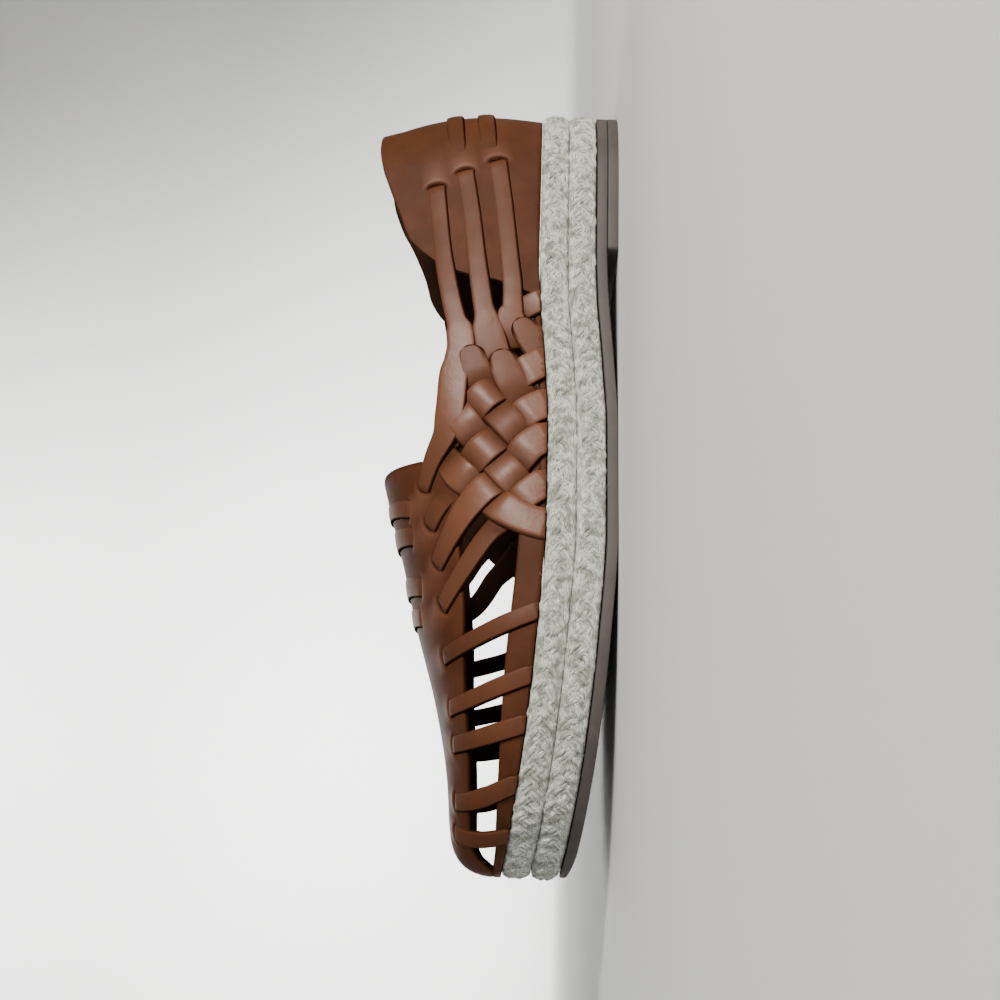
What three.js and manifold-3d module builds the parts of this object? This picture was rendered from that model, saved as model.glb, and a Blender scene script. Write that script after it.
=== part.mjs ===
// Left woven-leather espadrille: rubber heel lift and outsole, jute platform, leather insole and one
// hollow leather upper of heel counter, woven quarters, vamp panel, rand and toe bars.
// Millimetres, +X towards the toe, +Y towards the outer side of the foot, +Z up, origin on the floor.

import * as THREE from 'three';
import { mergeVertices } from 'three/addons/utils/BufferGeometryUtils.js';
import Module from 'manifold-3d';

const wasm = await Module();
wasm.setup();

// Driving dimensions
const LENGTH = 252;
const GAP = 0.3;
const LIFT_HEIGHT = 3.5;
const LIFT_LENGTH = 59;
const OUTSOLE_THICKNESS = 3.3;
const OUTSOLE_INSET = 1;
const JUTE_HEIGHT = 17.5;
const JUTE_ROWS = 2;
const JUTE_BULGE = 1.4;
const INSOLE_THICKNESS = 2;
const INSOLE_INSET = 6;
const LEATHER = 1.6;
const LAYER_STEP = 1.2;
const UNDER_LAYER = -0.2;
const RIM_HEIGHT = 2.2;
const RIM_END = 148;
const RAND_START = 144;
const VAMP_START = 127.5;
const BAR_WIDTH = 5.7;
const BAR_TUCK = 0.8;
const INNER_BAR_TUCK = 0.95;
const WRAP_WIDTH = 5.8;
const WRAP_REACH = 22;
const HEEL_BULGE = 2;
const HEEL_BULGE_HEIGHT = 46;
const HEEL_BULGE_REACH = 60;

// Mesh fineness
const RING_STEPS = 36;
const BRAID_STEPS = 4;
const STRIP_STEPS_PER_ROW = 2;
const BAR_STEPS = 5;
const NUDGE = 1e-3;
const MERGE = 1e-3;

// Plan of the platform: half widths on both sides at distances from the heel.
const PLAN = [
  { along: 0, lateral: 0, medial: 0 },
  { along: 12, lateral: 25, medial: 25 },
  { along: 30, lateral: 31, medial: 31 },
  { along: 60, lateral: 32.5, medial: 30.5 },
  { along: 95, lateral: 34.5, medial: 27.5 },
  { along: 130, lateral: 39.5, medial: 32 },
  { along: 165, lateral: 44.4, medial: 42.5 },
  { along: 180, lateral: 45, medial: 45 },
  { along: 205, lateral: 42, medial: 43 },
  { along: 230, lateral: 31.5, medial: 36 },
  { along: 245, lateral: 16.5, medial: 24 },
  { along: LENGTH, lateral: 0, medial: 0 },
];

// Underside of the outsole: lifted heel, arch, flat tread under the ball, toe spring.
const SOLE_LINE = [
  { along: 0, floor: LIFT_HEIGHT },
  { along: LIFT_LENGTH, floor: LIFT_HEIGHT },
  { along: 75, floor: 3 },
  { along: 95, floor: 1.4 },
  { along: 120, floor: 0 },
  { along: 150, floor: 0 },
  { along: 183, floor: 2.1 },
  { along: 212, floor: 5 },
  { along: 238, floor: 8.8 },
  { along: LENGTH, floor: 11.6 },
];

// Ridge line of the last: height over the platform, sideways shift and roundness of the sections.
const LAST = [
  { along: 50, ridge: 86, shift: 0, fullness: 2.6 },
  { along: 75, ridge: 76, shift: -1, fullness: 2.6 },
  { along: 105, ridge: 61, shift: -3, fullness: 2.4 },
  { along: 125, ridge: 52, shift: -4, fullness: 2.2 },
  { along: 140, ridge: 47.8, shift: -4, fullness: 2.1 },
  { along: 170, ridge: 38.8, shift: -4, fullness: 2.1 },
  { along: 198, ridge: 28.3, shift: -4, fullness: 2 },
  { along: 216, ridge: 21.8, shift: -4, fullness: 2.2 },
  { along: 228, ridge: 17.5, shift: -4, fullness: 2.6 },
];

// Sections stand square to the foot at the waist and fan out round heel and toe.
const FAN = [
  { foot: 0, spine: 50 },
  { foot: 40, spine: 58 },
  { foot: 80, spine: 84 },
  { foot: 110, spine: 110 },
  { foot: 190, spine: 188.5 },
  { foot: 225, spine: 214 },
  { foot: LENGTH, spine: 228 },
];

// Distance of the leather's foot from the platform's edge, less at the toe.
const FEATHER = [
  { foot: 0, inset: 4 },
  { foot: 212, inset: 4 },
  { foot: 240, inset: 3 },
  { foot: LENGTH, inset: 2.2 },
];

// Heights of the counter's collar and front edge on the outer and the inner side.
const COUNTER = [
  { foot: 0, outer: 53, inner: 53 },
  { foot: 12, outer: 53, inner: 52.4 },
  { foot: 25, outer: 51.3, inner: 49 },
  { foot: 35, outer: 48.4, inner: 44.5 },
  { foot: 46, outer: 44.5, inner: 40.2 },
  { foot: 54, outer: 41.5, inner: 38 },
  { foot: 60, outer: 36, inner: 34.5 },
  { foot: 63.5, outer: 31.5, inner: 31 },
  { foot: 67, outer: 23.7, inner: 23.7 },
  { foot: 69.5, outer: 13.5, inner: 13.5 },
  { foot: 74, outer: 2.6, inner: 2.6 },
];

// Lower edge of the vamp panel, as a share of the ridge height: rounded throat tab to closed toe.
const VAMP = [
  { foot: VAMP_START, edge: 0.74 },
  { foot: 129.5, edge: 0.63 },
  { foot: 134, edge: 0.56 },
  { foot: 142, edge: 0.52 },
  { foot: 150, edge: 0.53 },
  { foot: 156, edge: 0.57 },
  { foot: 170, edge: 0.57 },
  { foot: 200, edge: 0.63 },
  { foot: 225, edge: 0.61 },
  { foot: 237, edge: 0.55 },
  { foot: 246, edge: 0.42 },
  { foot: 250, edge: 0.32 },
  { foot: LENGTH, edge: 0.15 },
];

const RAND = [
  { foot: RAND_START, top: 7.6 },
  { foot: 188, top: 7.8 },
  { foot: 206, top: 7 },
  { foot: 221, top: 6 },
  { foot: 237, top: 4.5 },
  { foot: LENGTH, top: 3 },
];

// Strips of one side: their middle line over the platform, width, and layer (1 on top, 0 below).
const STRIPS = {
  edge_strap: [
    { along: 35.8, rise: 33.4, width: 6.2, over: 1 },
    { along: 56.4, rise: 30.9, width: 6.2, over: 1 },
    { along: 75.8, rise: 27.8, width: 6.2, over: 1 },
    { along: 91.7, rise: 25.4, width: 7.2, over: 1 },
    { along: 97, rise: 26.2, width: 8.6, over: 1 },
    { along: 102, rise: 27.7, width: 9.6, over: 1 },
    { along: 113.5, rise: 29, width: 9.6, over: 1 },
    { along: 120, rise: 30, width: 8.6, over: 1 },
    { along: 129.2, rise: 34.1, width: 7, over: 1 },
    { along: 138.3, rise: 36.5, width: 5.6, over: 1 },
  ],
  middle_strap: [
    { along: 30.5, rise: 24.6, width: 6.2, over: 1 },
    { along: 48.4, rise: 21.5, width: 6.2, over: 1 },
    { along: 71.5, rise: 18.6, width: 6.2, over: 1 },
    { along: 90, rise: 15, width: 7.8, over: 1 },
    { along: 103.4, rise: 11.6, width: 8.8, over: 1 },
    { along: 113.3, rise: 5, width: 8.8, over: 0 },
    { along: 120.1, rise: 0, width: 8.8, over: 0 },
  ],
  low_strap: [
    { along: 26.5, rise: 14.2, width: 6.2, over: 1 },
    { along: 48.3, rise: 11, width: 6.2, over: 1 },
    { along: 73, rise: 8.6, width: 6.4, over: 1 },
    { along: 80, rise: 8.8, width: 8, over: 1 },
    { along: 87, rise: 7.4, width: 10.6, over: 1 },
    { along: 94, rise: 3.8, width: 10.6, over: 0 },
    { along: 100, rise: 0, width: 9.4, over: 0 },
  ],
  forward_0: [
    { along: 77, rise: 0, width: 8, over: 1 },
    { along: 79, rise: 4, width: 8, over: 0.7 },
    { along: 82, rise: 9, width: 7.5, over: 0 },
  ],
  forward_1: [
    { along: 97.4, rise: 0, width: 8.8, over: 1 },
    { along: 100.4, rise: 4.7, width: 8.8, over: 1 },
    { along: 104.4, rise: 11.6, width: 8.8, over: 0 },
    { along: 109.3, rise: 18.6, width: 8.8, over: 1 },
    { along: 117.1, rise: 25.4, width: 8.8, over: 0 },
    { along: 122.5, rise: 30, width: 8.8, over: 0 },
  ],
  forward_2: [
    { along: 111.8, rise: 0, width: 8.8, over: 1 },
    { along: 114.3, rise: 5, width: 8.8, over: 1 },
    { along: 120.2, rise: 11.6, width: 8.8, over: 0 },
    { along: 126.7, rise: 18.5, width: 8.8, over: 1 },
    { along: 134.2, rise: 25.4, width: 9, over: 0 },
    { along: 144, rise: 31.6, width: 7.8, over: 1 },
    { along: 149.9, rise: 34.2, width: 7, over: 1 },
  ],
  forward_3: [
    { along: 122.6, rise: 0, width: 8.8, over: 1 },
    { along: 126.1, rise: 4.9, width: 8.8, over: 1 },
    { along: 134.3, rise: 11.7, width: 8.8, over: 0 },
    { along: 140.1, rise: 18.2, width: 8.8, over: 1 },
    { along: 147, rise: 23.6, width: 8.6, over: 1 },
    { along: 154.6, rise: 27.8, width: 7.8, over: 1 },
    { along: 162, rise: 31, width: 7, over: 1 },
  ],
  forward_4: [
    { along: 137.6, rise: 0, width: 8.8, over: 1 },
    { along: 141.5, rise: 5.1, width: 8.8, over: 1 },
    { along: 148.5, rise: 11.6, width: 8, over: 0 },
    { along: 153.4, rise: 16, width: 7, over: 0.5 },
    { along: 163, rise: 21.8, width: 6.8, over: 1 },
    { along: 174.5, rise: 28, width: 6.6, over: 1 },
  ],
  back_1: [
    { along: 86, rise: 24, width: 6.5, over: 0 },
    { along: 98.3, rise: 22, width: 8.8, over: 1 },
    { along: 109.3, rise: 18.6, width: 8.8, over: 0 },
    { along: 118.3, rise: 11.7, width: 8.8, over: 1 },
    { along: 126.1, rise: 4.9, width: 8.8, over: 0 },
    { along: 132.8, rise: 0, width: 8.8, over: 0 },
  ],
  back_2: [
    { along: 108.5, rise: 30.5, width: 8, over: 0 },
    { along: 117.1, rise: 25.4, width: 8.8, over: 1 },
    { along: 125.8, rise: 18.5, width: 8.8, over: 0 },
    { along: 134.3, rise: 11.7, width: 8.8, over: 1 },
    { along: 141.5, rise: 5.1, width: 8.8, over: 0 },
    { along: 148.1, rise: 0, width: 8.8, over: 0 },
  ],
  back_3: [
    { along: 126.5, rise: 31.5, width: 8, over: 0 },
    { along: 134.2, rise: 25.4, width: 8.8, over: 1 },
    { along: 140.1, rise: 18.6, width: 9.2, over: 0 },
    { along: 145.8, rise: 12, width: 9.6, over: 1 },
    { along: 149.5, rise: 5, width: 9.6, over: 1 },
    { along: 151, rise: 0, width: 9.6, over: 1 },
  ],
};

// On the inner side these strips reach on to the ridge of the vamp and end there.
const INNER_ENDS = {
  edge_strap: { along: 139.5, rise: 46 },
  forward_2: { along: 151.5, rise: 43 },
  forward_3: { along: 165.5, rise: 38.8 },
  forward_4: { along: 176, rise: 35.4 },
};

// Toe bars: stations of their lower and upper ends, measured along the platform's edge.
const BARS = [
  { foot: 176.5, head: 189 },
  { foot: 195, head: 205.5 },
  { foot: 209, head: 217.5 },
  { foot: 225.5, head: 236 },
  { foot: 240, head: 245 },
];

// Strap ends that run round the back of the heel: height at their ends and in the middle.
const WRAPS = [
  { side_rise: 26.5, back_rise: 29.3 },
  { side_rise: 16.4, back_rise: 19.2 },
];

// Smooth curve through a table's rows that never overshoots them.
function curve(rows, key, value) {
  const x = rows.map((row) => row[key]);
  const y = rows.map((row) => row[value]);
  const last = rows.length - 1;
  const width = x.slice(1).map((next, i) => next - x[i]);
  const rate = y.slice(1).map((next, i) => (next - y[i]) / width[i]);
  const slope = y.map((_, i) => {
    if (i === 0) return rate[0];
    if (i === last) return rate[last - 1];
    if (rate[i - 1] * rate[i] <= 0) return 0;
    const before = 2 * width[i] + width[i - 1];
    const after = width[i] + 2 * width[i - 1];
    return (before + after) / (before / rate[i - 1] + after / rate[i]);
  });
  return (at) => {
    const clamped = Math.min(Math.max(at, x[0]), x[last]);
    let i = 0;
    while (i < last - 1 && clamped > x[i + 1]) i += 1;
    const t = (clamped - x[i]) / width[i];
    const rest = 1 - t;
    return (
      y[i] * (1 + 2 * t) * rest * rest +
      slope[i] * width[i] * t * rest * rest +
      y[i + 1] * t * t * (3 - 2 * t) -
      slope[i + 1] * width[i] * t * t * rest
    );
  };
}

// A station runs 0 to 1 from heel to toe, close together at both ends; its sign gives the side.
const stationAt = (along) => Math.acos(1 - (2 * along) / LENGTH) / Math.PI;
const alongAt = (station) => (LENGTH / 2) * (1 - Math.cos(Math.PI * station));

const planByStation = PLAN.map((row) => ({ ...row, station: stationAt(row.along) }));
const halfWidth = {
  lateral: curve(planByStation, 'station', 'lateral'),
  medial: curve(planByStation, 'station', 'medial'),
};
const floorAt = curve(SOLE_LINE, 'along', 'floor');
const ridgeAt = curve(LAST, 'along', 'ridge');
const shiftAt = curve(LAST, 'along', 'shift');
const fullnessAt = curve(LAST, 'along', 'fullness');
const spineAt = curve(FAN, 'foot', 'spine');
const featherAt = curve(FEATHER, 'foot', 'inset');
const counterTop = {
  outer: curve(COUNTER, 'foot', 'outer'),
  inner: curve(COUNTER, 'foot', 'inner'),
};
const vampEdge = curve(VAMP, 'foot', 'edge');
const randTop = curve(RAND, 'foot', 'top');

const platformTop = (along) => floorAt(along) + OUTSOLE_THICKNESS + GAP + JUTE_HEIGHT;
const alongOf = (x) => x + LENGTH / 2;

// Platform edge: u is the station, positive on the outer side and negative on the inner side.
function planPoint(u) {
  const turn = u > 1 ? u - 2 : u < -1 ? u + 2 : u;
  const station = Math.abs(turn);
  const side = turn < 0 ? -halfWidth.medial(station) : halfWidth.lateral(station);
  return new THREE.Vector2(alongAt(station) - LENGTH / 2, side);
}

function outward(u) {
  const run = planPoint(u + NUDGE).sub(planPoint(u - NUDGE)).normalize();
  return new THREE.Vector2(-run.y, run.x);
}

const edgePoint = (u, inset) => planPoint(u).addScaledVector(outward(u), -inset);

// Inner face of the upper: each section climbs from the feather line to the ridge as a superellipse.
function section(u) {
  const foot = edgePoint(u, featherAt(alongAt(u)));
  const spine = spineAt(alongAt(u));
  return { foot, spine, height: ridgeAt(spine), fullness: fullnessAt(spine) };
}

function wallPoint(u, angle) {
  const { foot, spine, height, fullness } = section(u);
  const lean = Math.cos(angle) ** (2 / fullness);
  const rise = height * Math.sin(angle) ** (2 / fullness);
  const heel = Math.max(0, 1 - alongOf(foot.x) / HEEL_BULGE_REACH);
  const swell = heel * HEEL_BULGE * Math.sin(Math.PI * Math.min(1, rise / HEEL_BULGE_HEIGHT));
  const plan = new THREE.Vector2(spine - LENGTH / 2, shiftAt(spine));
  plan.lerp(foot, lean).addScaledVector(outward(u), swell);
  return new THREE.Vector3(plan.x, plan.y, platformTop(alongOf(plan.x)) + GAP + rise);
}

function sideNormal(u, angle) {
  const inside = Math.min(Math.max(angle, 2 * NUDGE), Math.PI / 2 - 2 * NUDGE);
  const along = wallPoint(u + NUDGE, inside).sub(wallPoint(u - NUDGE, inside));
  const up = wallPoint(u, inside + NUDGE).sub(wallPoint(u, inside - NUDGE));
  return up.cross(along).normalize();
}

// Along the ridge both sides share one normal, so that their halves meet.
function wallNormal(u, angle) {
  const normal = sideNormal(u, angle);
  if (angle < Math.PI / 2 - NUDGE) return normal;
  return normal.add(sideNormal(-u, angle)).normalize();
}

function leatherPoint(u, angle, offset) {
  const point = wallPoint(u, angle).addScaledVector(wallNormal(u, angle), offset);
  point.z = Math.max(point.z, platformTop(alongOf(point.x)) + GAP);
  return point;
}

function angleAtShare(u, share) {
  return Math.asin(Math.min(1, share) ** (section(u).fullness / 2));
}

const angleAtRise = (u, rise) => angleAtShare(u, Math.max(0, rise) / section(u).height);

// Finds the section through a point that is given by its distance from the heel and its rise.
function surfaceAt(along, rise, side) {
  let low = 0;
  let high = 1;
  for (let i = 0; i < 30; i += 1) {
    const u = (side * (low + high)) / 2;
    if (alongOf(wallPoint(u, angleAtRise(u, rise)).x) < along) low = Math.abs(u);
    else high = Math.abs(u);
  }
  const u = (side * (low + high)) / 2;
  return { u, angle: angleAtRise(u, rise) };
}

// Closed solid from a list of triangles, with its faces turned outward.
function solidOf(triangles) {
  const soup = new THREE.BufferGeometry().setFromPoints(triangles.flat());
  const merged = mergeVertices(soup, MERGE);
  const index = merged.index.array;
  const at = (i) => new THREE.Vector3().fromBufferAttribute(merged.attributes.position, i);
  const faces = [];
  let volume = 0;
  for (let i = 0; i < index.length; i += 3) {
    const [a, b, c] = index.slice(i, i + 3);
    if (a === b || b === c || c === a) continue;
    faces.push([a, b, c]);
    volume += at(a).dot(at(b).cross(at(c)));
  }
  const turned = volume < 0 ? faces.map(([a, b, c]) => [a, c, b]) : faces;
  return new wasm.Manifold(
    new wasm.Mesh({
      numProp: 3,
      vertProperties: merged.attributes.position.array,
      triVerts: Uint32Array.from(turned.flat()),
    }),
  );
}

const quad = (a, b, c, d) => [
  [a, b, c],
  [a, c, d],
];

// Leather between two grids of points, with walls along its borders.
function sheet(inner, outer, closedTop = true) {
  const rows = inner.length;
  const columns = inner[0].length;
  const triangles = [];
  for (let i = 0; i + 1 < rows; i += 1) {
    for (let j = 0; j + 1 < columns; j += 1) {
      triangles.push(...quad(inner[i][j], inner[i + 1][j], inner[i + 1][j + 1], inner[i][j + 1]));
      triangles.push(...quad(outer[i][j], outer[i][j + 1], outer[i + 1][j + 1], outer[i + 1][j]));
    }
    triangles.push(...quad(inner[i][0], outer[i][0], outer[i + 1][0], inner[i + 1][0]));
    if (!closedTop) continue;
    const j = columns - 1;
    triangles.push(...quad(inner[i][j], inner[i + 1][j], outer[i + 1][j], outer[i][j]));
  }
  const end = rows - 1;
  for (let j = 0; j + 1 < columns; j += 1) {
    triangles.push(...quad(inner[0][j], inner[0][j + 1], outer[0][j + 1], outer[0][j]));
    triangles.push(...quad(inner[end][j], outer[end][j], outer[end][j + 1], inner[end][j + 1]));
  }
  return solidOf(triangles);
}

const spread = (from, to, steps) =>
  Array.from({ length: steps + 1 }, (_, i) => from + ((to - from) * i) / steps);

// A panel of the wall between two angles, over a range of stations that may pass heel or toe.
function panel(from, to, steps, lowAngle, highAngle, columns, layer, closedTop = true) {
  const grid = (offset) =>
    spread(from, to, steps).map((u) =>
      spread(lowAngle(u), highAngle(u), columns).map((angle) => leatherPoint(u, angle, offset)),
    );
  return sheet(grid(layer), grid(layer + LEATHER), closedTop);
}

// A strip swept over the wall: each stop gives its surface place, width and layer.
function strip(stops) {
  const inner = [];
  const outer = [];
  stops.forEach((stop, i) => {
    const before = stops[Math.max(0, i - 1)];
    const after = stops[Math.min(stops.length - 1, i + 1)];
    const run = wallPoint(after.u, after.angle).sub(wallPoint(before.u, before.angle));
    const across = wallNormal(stop.u, stop.angle).cross(run).setLength(stop.width / 2);
    const inside = Math.max(stop.angle, NUDGE);
    const byStation = wallPoint(stop.u + NUDGE, inside).sub(wallPoint(stop.u - NUDGE, inside));
    const byAngle = wallPoint(stop.u, inside + NUDGE).sub(wallPoint(stop.u, inside - NUDGE));
    byStation.divideScalar(2 * NUDGE);
    byAngle.divideScalar(2 * NUDGE);
    const mixed = byStation.dot(byAngle);
    const scale = byStation.lengthSq() * byAngle.lengthSq() - mixed * mixed;
    const p = across.dot(byStation);
    const q = across.dot(byAngle);
    const du = (p * byAngle.lengthSq() - q * mixed) / scale;
    const da = (q * byStation.lengthSq() - p * mixed) / scale;
    const layer = UNDER_LAYER + LAYER_STEP * stop.over;
    const rowAt = (offset) =>
      [-1, 1].map((sign) => {
        const angle = Math.min(Math.max(stop.angle + sign * da, 0), Math.PI / 2);
        return leatherPoint(stop.u + sign * du, angle, offset);
      });
    inner.push(rowAt(layer));
    outer.push(rowAt(layer + LEATHER));
  });
  return sheet(inner, outer);
}

function strapStops(rows, side) {
  const numbered = rows.map((row, i) => ({ ...row, i }));
  const track = (value) => curve(numbered, 'i', value);
  const [along, rise, width, over] = ['along', 'rise', 'width', 'over'].map(track);
  return spread(0, rows.length - 1, (rows.length - 1) * STRIP_STEPS_PER_ROW).map((t) => ({
    ...surfaceAt(along(t), rise(t), side),
    width: width(t),
    over: over(t),
  }));
}

function sideRows([name, rows], side) {
  const end = side < 0 ? INNER_ENDS[name] : {};
  return [...rows.slice(0, -1), { ...rows.at(-1), ...end }];
}

function barStops({ foot, head }, side) {
  const tuck = side > 0 ? BAR_TUCK : INNER_BAR_TUCK;
  return spread(0, 1, BAR_STEPS).map((t) => {
    const u = side * THREE.MathUtils.lerp(stationAt(foot), stationAt(head), t);
    return { u, angle: angleAtShare(u, tuck * t), width: BAR_WIDTH, over: 1 };
  });
}

function wrapStops({ side_rise, back_rise }) {
  const reach = stationAt(WRAP_REACH);
  return spread(-reach, reach, BAR_STEPS).map((u) => {
    const rise = THREE.MathUtils.lerp(back_rise, side_rise, Math.abs(u) / reach);
    return { u, angle: angleAtRise(u, rise), width: WRAP_WIDTH, over: 1 };
  });
}

function upperSolid() {
  const base = () => 0;
  const counterEnd = stationAt(COUNTER.at(-1).foot);
  const rimEnd = stationAt(RIM_END);
  const randStart = stationAt(RAND_START);
  const vampStart = stationAt(VAMP_START);
  const counterAngle = (u) => angleAtRise(u, counterTop[u < 0 ? 'inner' : 'outer'](alongAt(u)));
  const rimAngle = (u) => angleAtRise(u, RIM_HEIGHT);
  const randAngle = (u) => angleAtRise(u, randTop(alongAt(u)));
  const vampAngle = (u) => angleAtShare(u, vampEdge(alongAt(u)));
  const ridgeAngle = () => Math.PI / 2;
  const pieces = [
    panel(-rimEnd, rimEnd, 20, base, rimAngle, 1, 0),
    panel(-counterEnd, counterEnd, 24, base, counterAngle, 5, 0),
    panel(randStart, 2 - randStart, 26, base, randAngle, 2, 0),
    panel(vampStart, 2 - vampStart, 26, vampAngle, ridgeAngle, 4, 0, false),
    ...WRAPS.map((row) => strip(wrapStops(row))),
  ];
  for (const side of [1, -1]) {
    pieces.push(...Object.entries(STRIPS).map((row) => strip(strapStops(sideRows(row, side), side))));
    pieces.push(...BARS.map((row) => strip(barStops(row, side))));
  }
  return pieces.reduce((whole, piece) => whole.add(piece));
}

// Stack of closed rings, capped below and above by rungs from one side to the other.
function stack(rings) {
  const count = rings[0].length;
  const triangles = [];
  for (let level = 0; level + 1 < rings.length; level += 1) {
    for (let k = 0; k < count; k += 1) {
      const next = (k + 1) % count;
      const low = rings[level];
      const high = rings[level + 1];
      triangles.push(...quad(low[k], low[next], high[next], high[k]));
    }
  }
  const top = rings.at(-1);
  const bottom = rings[0];
  for (let k = 0; k < count / 2; k += 1) {
    const mate = (count - k) % count;
    const nextMate = (count - k - 1) % count;
    triangles.push(...quad(bottom[k], bottom[mate], bottom[nextMate], bottom[k + 1]));
    triangles.push(...quad(top[k], top[k + 1], top[nextMate], top[mate]));
  }
  return solidOf(triangles);
}

function soleRing(inset, heightAt) {
  return spread(0, 2, 2 * RING_STEPS)
    .slice(0, -1)
    .map((u) => {
      const { x, y } = edgePoint(u, inset);
      return new THREE.Vector3(x, y, heightAt(alongOf(x)));
    });
}

function outsoleSolid() {
  const topAt = (along) => floorAt(along) + OUTSOLE_THICKNESS;
  return stack([soleRing(OUTSOLE_INSET, floorAt), soleRing(OUTSOLE_INSET, topAt)]);
}

// The platform's side shows its rows of jute as rounded ribs.
function juteSolid() {
  const levels = spread(0, JUTE_ROWS, JUTE_ROWS * BRAID_STEPS);
  const rings = levels.map((level) => {
    const tuck = JUTE_BULGE * (1 - Math.abs(Math.sin(Math.PI * level)));
    const height = (JUTE_HEIGHT * level) / JUTE_ROWS;
    return soleRing(tuck, (along) => floorAt(along) + OUTSOLE_THICKNESS + GAP + height);
  });
  return stack(rings);
}

function insoleSolid() {
  const rings = [0, INSOLE_THICKNESS].map((height) =>
    soleRing(INSOLE_INSET, (along) => platformTop(along) + GAP + height),
  );
  return stack(rings);
}

function liftSolid() {
  const breast = stationAt(LIFT_LENGTH);
  const ring = (height) =>
    spread(-breast, breast, RING_STEPS + 1).map((u) => {
      const { x, y } = edgePoint(u, OUTSOLE_INSET);
      return new THREE.Vector3(x, y, height);
    });
  const heelFirst = (points) => [
    ...points.slice(points.length / 2),
    ...points.slice(0, points.length / 2),
  ];
  return stack([0, LIFT_HEIGHT - GAP].map((height) => heelFirst(ring(height))));
}

function meshOf(name, solid, material) {
  const { vertProperties, triVerts } = solid.getMesh();
  const geometry = new THREE.BufferGeometry();
  geometry.setAttribute('position', new THREE.BufferAttribute(Float32Array.from(vertProperties), 3));
  geometry.setIndex(new THREE.BufferAttribute(Uint32Array.from(triVerts), 1));
  const mesh = new THREE.Mesh(geometry, new THREE.MeshStandardMaterial(material));
  mesh.name = name;
  return mesh;
}

const rubber = { color: '#6f665f', roughness: 0.7, metalness: 0 };
const jute = { color: '#b9b39f', roughness: 0.95, metalness: 0 };
const sockLeather = { color: '#8a5d3e', roughness: 0.6, metalness: 0 };
const strapLeather = { color: '#74452f', roughness: 0.45, metalness: 0 };

const espadrille = new THREE.Group();
espadrille.add(
  meshOf('heel_lift', liftSolid(), rubber),
  meshOf('outsole', outsoleSolid(), rubber),
  meshOf('jute_midsole', juteSolid(), jute),
  meshOf('insole', insoleSolid(), sockLeather),
  meshOf('upper', upperSolid(), strapLeather),
);

export default espadrille;
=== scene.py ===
# %% [markdown]
# # A woven leather espadrille, left shoe
# The shoe is a slip-on whose upper is woven from leather strips over a platform wrapped in plaited
# jute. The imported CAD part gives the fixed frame: metres, +X to the toe, +Y to the outer side of the
# foot, +Z up, origin on the floor. This lesson dresses that frame piece by piece: rubber, jute,
# insole, leather panels, leather strips, then floor, light and camera.

import math

import bmesh
import bpy
import numpy as np
from mathutils import Matrix, Vector


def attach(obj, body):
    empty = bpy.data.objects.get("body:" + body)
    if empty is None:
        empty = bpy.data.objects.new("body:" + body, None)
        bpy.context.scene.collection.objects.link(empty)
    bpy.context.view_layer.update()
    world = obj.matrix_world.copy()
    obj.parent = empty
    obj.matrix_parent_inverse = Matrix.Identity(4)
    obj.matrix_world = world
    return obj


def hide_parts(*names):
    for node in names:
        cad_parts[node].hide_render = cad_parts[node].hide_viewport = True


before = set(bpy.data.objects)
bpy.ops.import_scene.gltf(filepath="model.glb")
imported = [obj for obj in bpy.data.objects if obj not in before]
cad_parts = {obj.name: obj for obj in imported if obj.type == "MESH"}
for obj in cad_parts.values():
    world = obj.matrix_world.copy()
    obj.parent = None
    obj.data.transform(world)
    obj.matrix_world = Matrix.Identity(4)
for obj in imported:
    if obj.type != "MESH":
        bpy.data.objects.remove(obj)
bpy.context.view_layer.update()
print("CAD nodes:", sorted(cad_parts))

# %% [markdown]
# ## The last and the sole line
# A shoemaker pulls the leather over a last, a solid foot shape. Every leather piece here lies on the
# same last, so the last comes first, as a few short tables of millimetres with named columns. The
# alternative, shrink-wrapping each piece onto the CAD mesh, would copy its facets. A smooth formula
# gives any point, its normal, and how far a millimetre goes along and across.

# %% Tables of the last and the sole
# All sizes are millimetres until a mesh is made. MM turns them to metres.
LENGTH = 252.0
GAP = 0.3
LIFT_HEIGHT = 3.5
LIFT_LENGTH = 59.0
OUTSOLE_THICKNESS = 3.3
JUTE_HEIGHT = 17.5
HEEL_BULGE = 2.0
HEEL_BULGE_HEIGHT = 46.0
HEEL_BULGE_REACH = 60.0
MM = 0.001

PLAN = {
    "along": [0, 12, 30, 60, 95, 130, 165, 180, 205, 230, 245, 252],
    "outer": [0, 25, 31, 32.5, 34.5, 39.5, 44.4, 45, 42, 31.5, 16.5, 0],
    "inner": [0, 25, 31, 30.5, 27.5, 32, 42.5, 45, 43, 36, 24, 0],
}
SOLE_LINE = {
    "along": [0, 59, 75, 95, 120, 150, 183, 212, 238, 252],
    "floor": [3.5, 3.5, 3, 1.4, 0, 0, 2.1, 5, 8.8, 11.6],
}
LAST = {
    "along": [50, 75, 105, 125, 140, 170, 198, 216, 228],
    "ridge": [86, 76, 61, 52, 47.8, 38.8, 28.3, 21.8, 17.5],
    "shift": [0, -1, -3, -4, -4, -4, -4, -4, -4],
    "fullness": [2.6, 2.6, 2.4, 2.2, 2.1, 2.1, 2, 2.2, 2.6],
}
FAN = {
    "foot": [0, 40, 80, 110, 190, 225, 252],
    "spine": [50, 58, 84, 110, 188.5, 214, 228],
}
FEATHER = {
    "foot": [0, 212, 240, 252],
    "inset": [4, 4, 3, 2.2],
}
print("tables of", len(PLAN["along"]), "widths,", len(LAST["along"]), "sections of the last")

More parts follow.
